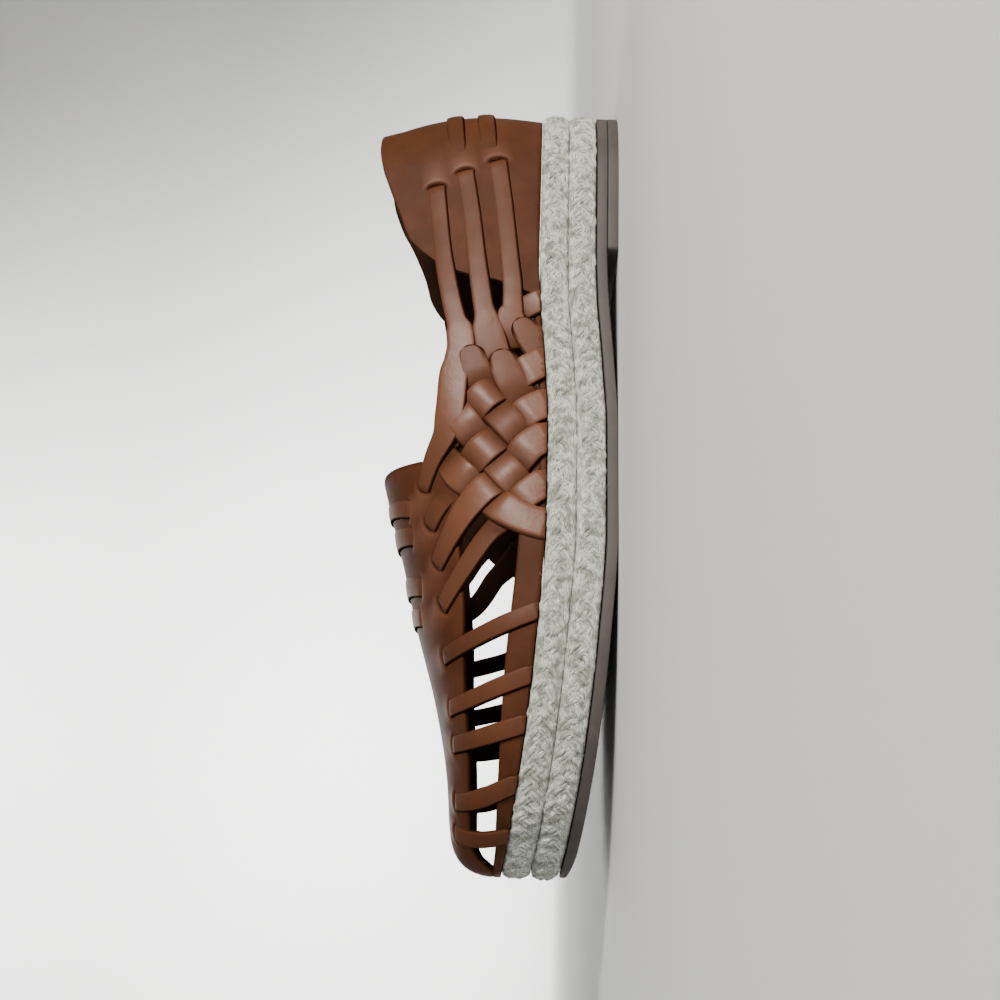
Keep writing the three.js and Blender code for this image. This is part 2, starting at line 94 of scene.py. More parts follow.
# %% Curves through the tables
def smooth(x, y):
    """Curve through the points that never overshoots them."""
    x = np.asarray(x, float)
    y = np.asarray(y, float)
    gap = np.diff(x)
    rate = np.diff(y) / gap
    slope = np.concatenate([rate[:1], np.zeros(len(x) - 2), rate[-1:]])
    for i in range(1, len(x) - 1):
        if rate[i - 1] * rate[i] > 0:
            before = 2 * gap[i] + gap[i - 1]
            after = gap[i] + 2 * gap[i - 1]
            slope[i] = (before + after) / (before / rate[i - 1] + after / rate[i])

    def value(at):
        at = np.clip(np.asarray(at, float), x[0], x[-1])
        i = np.clip(np.searchsorted(x, at) - 1, 0, len(gap) - 1)
        t = (at - x[i]) / gap[i]
        rest = 1 - t
        start = y[i] * (1 + 2 * t) * rest * rest + slope[i] * gap[i] * t * rest * rest
        end = y[i + 1] * t * t * (3 - 2 * t) - slope[i + 1] * gap[i] * t * t * rest
        return start + end

    return value


def column(table, key, name):
    return smooth(table[key], table[name])


def station_at(along):
    """0 at the heel to 1 at the toe, close together at both ends."""
    return np.arccos(1 - 2 * np.asarray(along, float) / LENGTH) / np.pi


def along_at(station):
    return LENGTH / 2 * (1 - np.cos(np.pi * np.asarray(station, float)))


outer_width = smooth(station_at(PLAN["along"]), PLAN["outer"])
inner_width = smooth(station_at(PLAN["along"]), PLAN["inner"])
floor_at = column(SOLE_LINE, "along", "floor")
ridge_at = column(LAST, "along", "ridge")
shift_at = column(LAST, "along", "shift")
fullness_at = column(LAST, "along", "fullness")
spine_at = column(FAN, "foot", "spine")
feather_at = column(FEATHER, "foot", "inset")
print("sole length", LENGTH, "mm, ball width", outer_width(0.63) + inner_width(0.63), "mm")

# %% [markdown]
# ## Points on the last
# A place on the last has two numbers: a station u round the platform's edge, positive on the outer
# side and negative on the inner side, and an angle that climbs from the platform to the ridge. Each
# section is a superellipse, rounder towards the toe and fuller at the heel, which is how lasts are
# drawn.

# %% Surface of the last
STEP = 1e-3


def platform_top(along):
    return floor_at(along) + OUTSOLE_THICKNESS + GAP + JUTE_HEIGHT


def plan_point(u):
    u = np.asarray(u, float)
    turn = np.where(u > 1, u - 2, np.where(u < -1, u + 2, u))
    station = np.abs(turn)
    side = np.where(turn < 0, -inner_width(station), outer_width(station))
    return np.stack([along_at(station) - LENGTH / 2, side], -1)


def outward(u):
    run = plan_point(u + STEP) - plan_point(u - STEP)
    run /= np.linalg.norm(run, axis=-1, keepdims=True)
    return np.stack([-run[..., 1], run[..., 0]], -1)


def edge_point(u, inset):
    return plan_point(u) - outward(u) * inset


def section(u):
    spine = spine_at(along_at(u))
    inset = feather_at(along_at(u))[..., None]
    return edge_point(u, inset), spine, ridge_at(spine), fullness_at(spine)


def wall_point(u, angle):
    foot, spine, height, fullness = section(u)
    lean = np.cos(angle) ** (2 / fullness)
    rise = height * np.sin(angle) ** (2 / fullness)
    heel = np.maximum(0, 1 - (foot[..., 0] + LENGTH / 2) / HEEL_BULGE_REACH)
    swell = heel * HEEL_BULGE * np.sin(np.pi * np.minimum(1, rise / HEEL_BULGE_HEIGHT))
    middle = np.stack([spine - LENGTH / 2, shift_at(spine)], -1)
    plan = middle + (foot - middle) * lean[..., None] + outward(u) * swell[..., None]
    z = platform_top(plan[..., 0] + LENGTH / 2) + GAP + rise
    return np.concatenate([plan, z[..., None]], -1)


def wall_normal(u, angle):
    inside = np.clip(angle, 2 * STEP, np.pi / 2 - 2 * STEP)
    along = wall_point(u + STEP, inside) - wall_point(u - STEP, inside)
    up = wall_point(u, inside + STEP) - wall_point(u, inside - STEP)
    normal = np.cross(up, along)
    return normal / np.linalg.norm(normal, axis=-1, keepdims=True)


def leather_point(u, angle, offset):
    offset = np.asarray(offset, float)
    return wall_point(u, angle) + wall_normal(u, angle) * offset[..., None]

# %% Finding a place on the last
def angle_at_share(u, share):
    fullness = section(u)[3]
    return np.arcsin(np.clip(share, 0, 1) ** (fullness / 2))


def angle_at_rise(u, rise):
    return angle_at_share(u, np.maximum(rise, 0) / section(u)[2])


def surface_at(along, rise, side):
    """Station and angle of places given by distance from the heel and rise over the platform."""
    low = np.zeros_like(along)
    high = np.ones_like(along)
    for _ in range(30):
        middle = (low + high) / 2
        u = side * middle
        short = wall_point(u, angle_at_rise(u, rise))[..., 0] + LENGTH / 2 < along
        low = np.where(short, middle, low)
        high = np.where(short, high, middle)
    u = side * (low + high) / 2
    return u, angle_at_rise(u, rise)


print("collar at the heel, mm:", np.round(wall_point(0.0, angle_at_rise(0.0, 56.0)), 1))

# %% [markdown]
# ## From numbers to meshes
# Every piece is built as vertices and faces in millimetres, welded, turned outward and scaled to
# metres. One helper does that for all pieces, and also stores a few named values on the vertices, so
# that a material can darken a burnished edge, paint shade into a slit and along the side of a strip
# away from the light, paint a paler sheen on polished leather, or show the raw side of the leather. A
# piece then rides on the part's one body and takes its material.

# %% Mesh helper
# Vertices nearer to each other than SEAM are one vertex.
SEAM = 1e-3
made_triangles = {}


def piece(name, parts, material, node, weld=0.0):
    """Joins parts of (vertices, faces, values) into one object that stands for a CAD node."""
    vertices = np.concatenate([part[0] for part in parts])
    faces = []
    start = 0
    for part in parts:
        faces.extend([tuple(int(i) + start for i in face) for face in part[1]])
        start += len(part[0])
    mesh = bpy.data.meshes.new(name)
    mesh.from_pydata((vertices * MM).tolist(), [], faces)
    for key in parts[0][2]:
        values = np.concatenate([part[2][key] for part in parts]).astype(np.float32)
        if values.ndim == 2:
            mesh.attributes.new(key, "FLOAT_VECTOR", "POINT").data.foreach_set("vector", values.ravel())
        else:
            mesh.attributes.new(key, "FLOAT", "POINT").data.foreach_set("value", values)
    work = bmesh.new()
    work.from_mesh(mesh)
    if weld:
        bmesh.ops.remove_doubles(work, verts=work.verts, dist=weld * MM)
    bmesh.ops.recalc_face_normals(work, faces=work.faces)
    work.to_mesh(mesh)
    work.free()
    mesh.shade_smooth()
    mesh.materials.append(material)
    made = bpy.data.objects.new(name, mesh)
    bpy.context.scene.collection.objects.link(made)
    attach(made, "root")
    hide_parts(node)
    made_triangles[name] = sum(len(face.vertices) - 2 for face in mesh.polygons)


def grid_faces(rows, columns, closed_rows=False, closed_columns=False):
    last_row = rows if closed_rows else rows - 1
    last_column = columns if closed_columns else columns - 1
    faces = []
    for i in range(last_row):
        a = i * columns
        b = (i + 1) % rows * columns
        for j in range(last_column):
            k = (j + 1) % columns
            faces.append((a + j, b + j, b + k, a + k))
    return faces

# %% [markdown]
# ## Materials
# All colours are sRGB values read off and matched to the photograph, turned to linear by one
# function. One small helper adds a node, sets its values and links its inputs, so that each material
# reads as a list. Pattern sizes are given in millimetres and turned into a texture scale, because
# the texture space here is metres.

# %% Node helper
def linear(code):
    channels = [int(code[i : i + 2], 16) / 255 for i in (1, 3, 5)]
    return (*[c / 12.92 if c <= 0.04045 else ((c + 0.055) / 1.055) ** 2.4 for c in channels], 1.0)


def scale_of(size_mm):
    return 1 / (size_mm * MM)


def add(tree, kind, inputs=None, **settings):
    made = tree.nodes.new(kind)
    for name, value in settings.items():
        setattr(made, name, value)
    for name, value in (inputs or {}).items():
        if isinstance(value, bpy.types.NodeSocket):
            tree.links.new(value, made.inputs[name])
        else:
            made.inputs[name].default_value = value
    return made


def new_material(name):
    material = bpy.data.materials.new(name)
    material.use_nodes = True
    material.node_tree.nodes.clear()
    return material, material.node_tree

# %% [markdown]
# ### Smooth brown strap leather
# Chrome-tanned cowhide with a pigmented grain: fine pores, faint tone clouds the size of a fingertip,
# edges burnished almost black and a dull, raw flesh side, darkened further as painted shade for
# the inside. Where a strip bows out of the weave, wear has polished it, so it shines, and its colour
# is painted paler there as a painted sheen; the lips by the slits get the same paler colour as a
# painted highlight. The slits and the side of a strip away from the light are painted near-black as
# painted shade. The values stored on the vertices say where those show. One plain brown would have
# the colour but none of the rest. Real pores are near 0.2 mm. They are drawn at 0.8 mm to show at
# this image size.

# %% Strap leather
def strap_leather(name, dark, mid, light):
    material, tree = new_material(name)
    place = add(tree, "ShaderNodeTexCoord").outputs["Object"]
    clouds = add(tree, "ShaderNodeTexNoise", {"Vector": place, "Scale": scale_of(14), "Detail": 5.0})
    tone = add(tree, "ShaderNodeValToRGB", {"Fac": clouds.outputs["Fac"]})
    tone.color_ramp.elements[0].position = 0.32
    tone.color_ramp.elements[0].color = linear(dark)
    tone.color_ramp.elements[1].position = 0.7
    tone.color_ramp.elements[1].color = linear(light)
    tone.color_ramp.elements.new(0.5).color = linear(mid)
    edge = add(tree, "ShaderNodeAttribute", attribute_name="edge").outputs["Fac"]
    flesh = add(tree, "ShaderNodeAttribute", attribute_name="flesh").outputs["Fac"]
    cut = add(tree, "ShaderNodeAttribute", attribute_name="cut").outputs["Fac"]
    gloss = add(tree, "ShaderNodeAttribute", attribute_name="gloss").outputs["Fac"]
    # Polish also paints the colour paler: a painted sheen.
    painted_sheen_share = add(tree, "ShaderNodeMath", {0: gloss, 1: 0.55}, operation="MULTIPLY").outputs[0]
    sheen_mix = {0: painted_sheen_share, 6: tone.outputs["Color"], 7: linear("#7d4a2e")}
    sheened = add(tree, "ShaderNodeMix", sheen_mix, data_type="RGBA").outputs[2]
    # Near-black for burnished edges, and painted shade on the side of a strip away from the light.
    burnish_and_shade_mix = {0: edge, 6: sheened, 7: linear("#1c0d07")}
    burnished_and_shaded = add(tree, "ShaderNodeMix", burnish_and_shade_mix, data_type="RGBA").outputs[2]
    # The flesh colour is raw leather, darkened further as painted shade for the inside of the shoe.
    raw = {0: flesh, 6: burnished_and_shaded, 7: linear("#34241a")}
    sided_and_shaded = add(tree, "ShaderNodeMix", raw, data_type="RGBA").outputs[2]
    # Near-black in the slit grooves: painted shade.
    slit = {0: cut, 6: sided_and_shaded, 7: linear("#140905")}
    colour = add(tree, "ShaderNodeMix", slit, data_type="RGBA").outputs[2]
    pores = add(tree, "ShaderNodeTexVoronoi", {"Vector": place, "Scale": scale_of(0.8)})
    creases = add(tree, "ShaderNodeTexNoise", {"Vector": place, "Scale": scale_of(5), "Detail": 3.0})
    fine = {"Height": pores.outputs["Distance"], "Strength": 0.25, "Distance": 0.00006}
    grain = add(tree, "ShaderNodeBump", fine)
    broad = {"Height": creases.outputs["Fac"], "Strength": 0.3, "Distance": 0.0005}
    broad["Normal"] = grain.outputs["Normal"]
    surface = add(tree, "ShaderNodeBump", broad)
    matt = {"Value": creases.outputs["Fac"], "To Min": 0.52, "To Max": 0.66}
    shiny = {"Value": creases.outputs["Fac"], "To Min": 0.36, "To Max": 0.5}
    dull = add(tree, "ShaderNodeMapRange", matt).outputs["Result"]
    bright = add(tree, "ShaderNodeMapRange", shiny).outputs["Result"]
    finish = add(tree, "ShaderNodeMix", {0: gloss, 2: dull, 3: bright}, data_type="FLOAT").outputs[0]
    hidden = add(tree, "ShaderNodeMath", {0: edge, 1: flesh}, operation="MAXIMUM").outputs[0]
    hidden = add(tree, "ShaderNodeMath", {0: hidden, 1: cut}, operation="MAXIMUM").outputs[0]
    rougher = {0: finish, 1: hidden}
    rough = add(tree, "ShaderNodeMath", rougher, operation="ADD", use_clamp=True).outputs[0]
    shine = add(tree, "ShaderNodeMapRange", {"Value": gloss, "To Min": 0.16, "To Max": 0.45})
    bare = add(tree, "ShaderNodeMapRange", {"Value": hidden, "To Min": 1.0, "To Max": 0.0})
    both = {0: shine.outputs["Result"], 1: bare.outputs["Result"]}
    level = add(tree, "ShaderNodeMath", both, operation="MULTIPLY").outputs[0]
    body = {"Base Color": colour, "Roughness": rough, "Normal": surface.outputs["Normal"], "IOR": 1.45}
    body["Specular IOR Level"] = level
    shader = add(tree, "ShaderNodeBsdfPrincipled", body)
    add(tree, "ShaderNodeOutputMaterial", {"Surface": shader.outputs["BSDF"]})
    return material


leather = strap_leather("pigmented_brown_cowhide", "#452511", "#4c2914", "#552f19")
print("leather material:", leather.name)

# %% [markdown]
# ### Natural plaited jute
# Bleached bast fibre, spun loosely and plaited. Nothing in it is shiny: the look comes from thousands
# of fibres that catch light along their length, in grey, straw and cream. Each yarn stores its own
# length and turn in millimetres, so the streaks follow it round every bend, which a texture in object
# space could not do. Real fibres are near 0.06 mm. They are drawn about four times coarser to show at
# this image size.

# %% Jute
STREAKS_PER_MM = 0.35
FIBRES_PER_MM = 4.5


def jute_yarn(name):
    material, tree = new_material(name)
    lay = add(tree, "ShaderNodeAttribute", attribute_name="lay").outputs["Vector"]
    along_fibre = {"Vector": lay, "Scale": (STREAKS_PER_MM, FIBRES_PER_MM, FIBRES_PER_MM)}
    stretched = add(tree, "ShaderNodeMapping", along_fibre, vector_type="POINT").outputs["Vector"]
    fibres = add(tree, "ShaderNodeTexNoise", {"Vector": stretched, "Scale": 1.0, "Detail": 4.0})
    place = add(tree, "ShaderNodeTexCoord").outputs["Object"]
    patches = add(tree, "ShaderNodeTexNoise", {"Vector": place, "Scale": scale_of(2.6), "Detail": 3.0})
    streaks = add(tree, "ShaderNodeValToRGB", {"Fac": fibres.outputs["Fac"]})
    streaks.color_ramp.elements[0].position = 0.34
    streaks.color_ramp.elements[0].color = linear("#464a3d")
    streaks.color_ramp.elements[1].position = 0.64
    streaks.color_ramp.elements[1].color = linear("#fafdf2")
    streaks.color_ramp.elements.new(0.49).color = linear("#dee1d1")
    blend = {"Value": patches.outputs["Fac"], "From Min": 0.44, "From Max": 0.64, "To Max": 0.75}
    share = add(tree, "ShaderNodeMapRange", blend).outputs["Result"]
    patch = {0: share, 6: streaks.outputs["Color"], 7: linear("#7c806b")}
    colour = add(tree, "ShaderNodeMix", patch, data_type="RGBA").outputs[2]
    relief = {"Height": fibres.outputs["Fac"], "Strength": 1.0, "Distance": 0.0006}
    surface = add(tree, "ShaderNodeBump", relief).outputs["Normal"]
    body = {"Base Color": colour, "Roughness": 0.92, "Normal": surface, "IOR": 1.45}
    body["Sheen Weight"] = 0.25
    body["Sheen Roughness"] = 0.6
    shader = add(tree, "ShaderNodeBsdfPrincipled", body)
    add(tree, "ShaderNodeOutputMaterial", {"Surface": shader.outputs["BSDF"]})
    return material


jute = jute_yarn("plaited_natural_jute")
print("jute material:", jute.name)

# %% [markdown]
# ### Moulded sole rubber and sock leather
# The sole is a taupe styrene rubber, moulded against a lightly blasted tool: matt, with a grit of
# about a third of a millimetre and faint clouds where the mix varied. The sock inside is a thin tan
# sheepskin, softer and duller than the straps, with a fine grain.

# %% Rubber and sock leather
def grained(name, dark, light, cloud_mm, grit_mm, depth, roughness, ior):
    material, tree = new_material(name)
    place = add(tree, "ShaderNodeTexCoord").outputs["Object"]
    clouds = add(tree, "ShaderNodeTexNoise", {"Vector": place, "Scale": scale_of(cloud_mm), "Detail": 4.0})
    tone = add(tree, "ShaderNodeValToRGB", {"Fac": clouds.outputs["Fac"]})
    tone.color_ramp.elements[0].position = 0.3
    tone.color_ramp.elements[0].color = linear(dark)
    tone.color_ramp.elements[1].position = 0.7
    tone.color_ramp.elements[1].color = linear(light)
    grit = add(tree, "ShaderNodeTexNoise", {"Vector": place, "Scale": scale_of(grit_mm), "Detail": 2.0})
    relief = {"Height": grit.outputs["Fac"], "Strength": 0.4, "Distance": depth * MM}
    surface = add(tree, "ShaderNodeBump", relief).outputs["Normal"]
    spread = {"Value": clouds.outputs["Fac"], "To Min": roughness - 0.06, "To Max": roughness + 0.06}
    dullness = add(tree, "ShaderNodeMapRange", spread).outputs["Result"]
    body = {"Base Color": tone.outputs["Color"], "Roughness": dullness, "Normal": surface, "IOR": ior}
    shader = add(tree, "ShaderNodeBsdfPrincipled", body)
    add(tree, "ShaderNodeOutputMaterial", {"Surface": shader.outputs["BSDF"]})
    return material


rubber = grained("moulded_taupe_rubber", "#3f3833", "#4e4640", 9, 0.35, 0.06, 0.62, 1.52)
sock = grained("tan_sheepskin_sock", "#7d5234", "#936442", 12, 0.7, 0.1, 0.58, 1.5)
print("other materials:", rubber.name, sock.name)

# %% [markdown]
# ## Rubber outsole and heel lift
# Both are flat mouldings with softened edges, so a slab between two heights is enough: a grid for
# each face and a few rings that round the edge. Fine cross ribs are pressed into the tread. They are
# made in the mesh, because the underside is seen when the shoe is turned over.

# %% Slabs of the sole
SLAB_COLUMNS = 25
RIB_DEPTH = 0.5
RIB_PERIOD = 6.0
RIB_FIELD = 0.86
SOLE_INSET = 1.0


def slab(inset, under, over, fillet, rib_depth=0.0, front=1.0, stations=150):
    """Closed slab with the sole's outline from the heel to a front station, between two heights."""
    station = np.linspace(0, front, stations)
    across = np.linspace(-1, 1, SLAB_COLUMNS)
    share = (across[:, None] + 1) / 2

    def rims(extra):
        return [edge_point(u, (inset(along_at(u)) + extra)[:, None]) for u in (-station, station)]

    def face(extra, height, ribs):
        right, left = rims(extra)
        plan = right[:, None] * (1 - share) + left[:, None] * share
        along = plan[..., 0] + LENGTH / 2
        field = np.clip((RIB_FIELD - np.abs(across)) * 12, 0, 1) * (station < front)[:, None]
        wave = np.clip(np.sin(2 * np.pi * along / RIB_PERIOD) * 1.6, -0.6, 0.6) / 0.6
        z = height(along) + ribs * field * (1 + wave) / 2
        points = np.concatenate([plan, z[..., None]], -1)
        return points.reshape(-1, 3), grid_faces(stations, len(across)), {}

    def ring(extra, height):
        right, left = rims(extra)
        breast = left[-1] * (1 - share[1:-1]) + right[-1] * share[1:-1]
        plan = np.concatenate([left, breast, right[:0:-1]])
        return np.column_stack([plan, height(plan[:, 0] + LENGTH / 2)])

    quarter = np.linspace(0, np.pi / 2, 5)
    rings = []
    for bend in quarter:
        climb = fillet * (1 - math.cos(bend))
        rings.append(ring(fillet * (1 - math.sin(bend)), lambda along: under(along) + climb))
    for bend in quarter:
        drop = fillet * (1 - math.sin(bend))
        rings.append(ring(fillet * (1 - math.cos(bend)), lambda along: over(along) - drop))
    wall = (np.concatenate(rings), grid_faces(len(rings), len(rings[0]), closed_columns=True), {})
    return [face(fillet, under, rib_depth), face(fillet, over, 0.0), wall]


def sole_inset(along):
    return 0 * along + SOLE_INSET

# %% Outsole
TOE_ROLL = 1.7
TOE_ROLL_START = 243.0
OUTSOLE_FILLET = 0.4


def outsole_top(along):
    return floor_at(along) + OUTSOLE_THICKNESS


def outsole_bottom(along):
    """The moulded toe edge rolls up over its last few millimetres."""
    near = np.clip((along - TOE_ROLL_START) / (LENGTH - TOE_ROLL_START), 0, 1)
    return floor_at(along) + TOE_ROLL * near**2


outsole_parts = slab(sole_inset, outsole_bottom, outsole_top, OUTSOLE_FILLET, RIB_DEPTH, stations=420)
piece("rubber_outsole", outsole_parts, rubber, "outsole", SEAM)
print("outsole triangles:", made_triangles["rubber_outsole"])

# %% Heel lift
GLUE_LINE = 0.1
LIFT_FILLET = 0.3
lift_front = float(station_at(LIFT_LENGTH))


def lift_bottom(along):
    return 0 * along


def lift_top(along):
    return 0 * along + LIFT_HEIGHT - GLUE_LINE


lift_parts = slab(sole_inset, lift_bottom, lift_top, LIFT_FILLET, RIB_DEPTH, lift_front, 100)
piece("rubber_heel_lift", lift_parts, rubber, "heel_lift", SEAM)
print("lift triangles:", made_triangles["rubber_heel_lift"])

# %% [markdown]
# ## Plaited jute platform
# The platform's side is two flat plaits of three strands, one above the other, wound round a core. A
# bump texture on a plain band would lose the deep notches between strands, so each strand is three
# yarns side by side, and each yarn a real tube that swells where its plies twist. In a flat plait a
# strand swings from edge to edge once per cycle and dips in and out twice, which is one sine up and
# down and one of double speed in depth.

# %% Path round the platform
ring_u = np.linspace(0, 2, 4001)
ring_edge = edge_point(ring_u, 0.0)
ring_length = np.concatenate([[0], np.cumsum(np.linalg.norm(np.diff(ring_edge, axis=0), axis=1))])
PERIMETER = ring_length[-1]
PLAIT_CYCLE = 15.0
CYCLES = round(PERIMETER / PLAIT_CYCLE)
print("perimeter", round(PERIMETER, 1), "mm,", CYCLES, "cycles of plait")

# %% Plaits of three strands
STRANDS = 3
PLAIT_SWING = 2.3
PLAIT_DIP = 0.4
YARNS = 3
YARN_APART = 1.2
YARN_WIDE = 0.78
YARN_DEEP = 0.9
YARN_SIDES = 8
PLY_TWIST = 2.6
STREAK_WAVE = 9.0
PLAIT_INSET = 1.4
ROW_BULGE = 1.0
UNEVEN = {"pace": 0.1, "place": 0.14, "size": 0.12}


def wander(rng, travel, size):
    """Uneven hand of the plaiter: random waves that close round the shoe."""
    waves = np.zeros(len(travel))
    for cycles in rng.integers(15, 120, 8):
        waves += np.sin(2 * np.pi * (cycles * travel + rng.random()))
    return waves * size / 2

# %% Yarns and plaits
def plait_yarn(row, strand, yarn, per_cycle=24):
    rng = np.random.default_rng(100 * row + 10 * strand + yarn)
    count = CYCLES * per_cycle
    travel = np.arange(count) / count
    swing = 2 * np.pi * (CYCLES * travel + strand / STRANDS) + wander(rng, travel, UNEVEN["pace"])
    u = np.interp(travel * PERIMETER, ring_length, ring_u)
    normal = np.concatenate([outward(u), np.zeros((count, 1))], 1)
    plan = edge_point(u, PLAIT_INSET)
    along = plan[:, 0] + LENGTH / 2
    middle = floor_at(along) + OUTSOLE_THICKNESS + GAP + JUTE_HEIGHT * (row + 0.5) / 2
    height = middle + PLAIT_SWING * np.sin(swing) + wander(rng, travel, UNEVEN["place"])
    depth = PLAIT_DIP * np.sin(2 * swing) - ROW_BULGE * np.sin(swing) ** 2
    depth = depth + wander(rng, travel, UNEVEN["place"])
    centre = np.column_stack([plan, height]) + normal * depth[:, None]
    run = np.roll(centre, -1, 0) - np.roll(centre, 1, 0)
    pace = np.linalg.norm(run, axis=1, keepdims=True)
    run = run / pace
    wide = np.cross(run, normal)
    wide /= np.linalg.norm(wide, axis=1, keepdims=True)
    deep = np.cross(wide, run)
    spread = YARN_APART * (yarn - (YARNS - 1) / 2)
    centre = centre + wide * (spread + wander(rng, travel, UNEVEN["size"]))[:, None]
    length = np.cumsum(pace[:, 0] / 2)
    turn = np.linspace(0, 2 * np.pi, YARN_SIDES, endpoint=False)
    twist = 2 * turn[None, :] - 2 * np.pi * length[:, None] / PLY_TWIST
    swell = (1 + wander(rng, travel, UNEVEN["size"]))[:, None] * (1 + 0.12 * np.cos(twist))
    flat = wide[:, None] * (YARN_WIDE * np.cos(turn))[None, :, None]
    tall = deep[:, None] * (YARN_DEEP * np.sin(turn))[None, :, None]
    points = centre[:, None] + (flat + tall) * swell[..., None]
    streak = 0.8 * np.sin(2 * np.pi * length[:, None] / STREAK_WAVE)
    lay = np.zeros((count, YARN_SIDES, 3))
    lay[..., 0] = length[:, None] + 1000 * (YARNS * (STRANDS * row + strand) + yarn)
    lay[..., 1] = YARN_WIDE * np.cos(turn)[None, :] + streak
    lay[..., 2] = YARN_DEEP * np.sin(turn)[None, :]
    faces = grid_faces(count, YARN_SIDES, True, True)
    return points.reshape(-1, 3), faces, {"lay": lay.reshape(-1, 3)}


yarns = []
for row, name in enumerate(["jute_plait_low", "jute_plait_high"]):
    made = [plait_yarn(row, strand, yarn) for strand in range(STRANDS) for yarn in range(YARNS)]
    piece(name, made, jute, "jute_midsole")
    yarns += made
    print(name, "triangles:", made_triangles[name])

# %% Core under the plaits
CORE_INSET = 1.2
CORE_FILLET = 1.9
ROW_APART = 0.05


def core_inset(along):
    return 0 * along + CORE_INSET


def jute_bottom(along):
    return floor_at(along) + OUTSOLE_THICKNESS + GAP


core_parts = []
for row in range(2):
    low = JUTE_HEIGHT * row / 2
    high = JUTE_HEIGHT * (row + 1) / 2 - ROW_APART
    core_parts += slab(
        core_inset,
        lambda along, rise=low: jute_bottom(along) + rise,
        lambda along, rise=high: jute_bottom(along) + rise,
        CORE_FILLET,
    )
for part in core_parts:
    part[2]["lay"] = part[0] * np.array([1.0, 0.5, 1.0])
piece("jute_core", core_parts, jute, "jute_midsole", SEAM)
print("core triangles:", made_triangles["jute_core"])

# %% [markdown]
# ### Stray fibres
# Jute is never clean: loose fibres stand off the yarn all round the shoe. Hair particles would not
# survive the export, so each fibre is a tiny three-sided tube that leaves a yarn's surface, leans
# along it and curls. The random numbers are seeded.

# %% Fibres
FIBRE_COUNT = 2600
FIBRE_JOINTS = 5
FIBRE_RADIUS = 0.045


def stray_fibres():
    rng = np.random.default_rng(7)
    pick = rng.integers(0, len(yarns), FIBRE_COUNT)
    last = 3 * FIBRE_JOINTS - 1
    faces = grid_faces(FIBRE_JOINTS, 3, False, True) + [(0, 1, 2), (last, last - 1, last - 2)]
    t = np.linspace(0, 1, FIBRE_JOINTS)[:, None]
    parts = []
    for k in range(FIBRE_COUNT):
        points = yarns[pick[k]][0].reshape(-1, YARN_SIDES, 3)
        ring = int(rng.integers(0, len(points)))
        corner = int(rng.integers(1, 4))
        root = points[ring, corner]
        middle = points[ring].mean(0)
        run = points[(ring + 3) % len(points)].mean(0) - middle
        run /= np.linalg.norm(run)
        away = root - middle
        away /= np.linalg.norm(away)
        way = run * rng.choice([-1, 1]) + away * rng.uniform(0.15, 0.7) + rng.normal(0, 0.3, 3)
        way /= np.linalg.norm(way)
        curl = rng.normal(0, 0.35, 3)
        length = rng.uniform(1.2, 3.6)
        line = root - away * 0.2 + way * length * t + curl * length * t * t * 0.6
        line = line - away * (length * 0.25) * t * t
        side = np.cross(way, away)
        side /= np.linalg.norm(side)
        thick = FIBRE_RADIUS * (1.15 - t)
        back = line - side * thick * 0.5
        tube = np.stack([line + side * thick, back + away * thick, back - away * thick], 1)
        lay = np.zeros((3 * FIBRE_JOINTS, 3))
        lay[:, 0] = np.repeat(t[:, 0] * length + k, 3)
        lay[:, 1] = k * 0.7
        parts.append((tube.reshape(-1, 3), faces, {"lay": lay}))
    return parts


piece("jute_fibres", stray_fibres(), jute, "jute_midsole")
print("fibre triangles:", made_triangles["jute_fibres"])

# %% [markdown]
# ## Leather sock
# The insole is a thin board covered in sheepskin that lies on the platform inside the upper. It shows
# through the collar and the toe windows. The same slab with a larger edge radius gives its padded
# look.

# %% Insole
SOCK_THICKNESS = 2.0
SOCK_GAP = 0.4
SOCK_FILLET = 0.9


def sock_bottom(along):
    return platform_top(along) + GAP


def sock_top(along):
    return sock_bottom(along) + SOCK_THICKNESS


def sock_inset(along):
    return feather_at(along) + SOCK_GAP


sock_parts = slab(sock_inset, sock_bottom, sock_top, SOCK_FILLET)
piece("sheepskin_insole", sock_parts, sock, "insole", SEAM)
print("insole triangles:", made_triangles["sheepskin_insole"])

# %% [markdown]
# ## Where the strips run
# Three straps leave slits in the heel counter, pass the open slots and flare where they join the
# weave. The weave has five strips that climb forward, three of them to slits in the vamp, and six that
# lean back. Each table gives a strip's middle line in millimetres from the heel and over the platform,
# its width, and its layer: 1 on top, 0 below. Curves drawn in the viewport could hold the same lines,
# but a table keeps the numbers in sight.

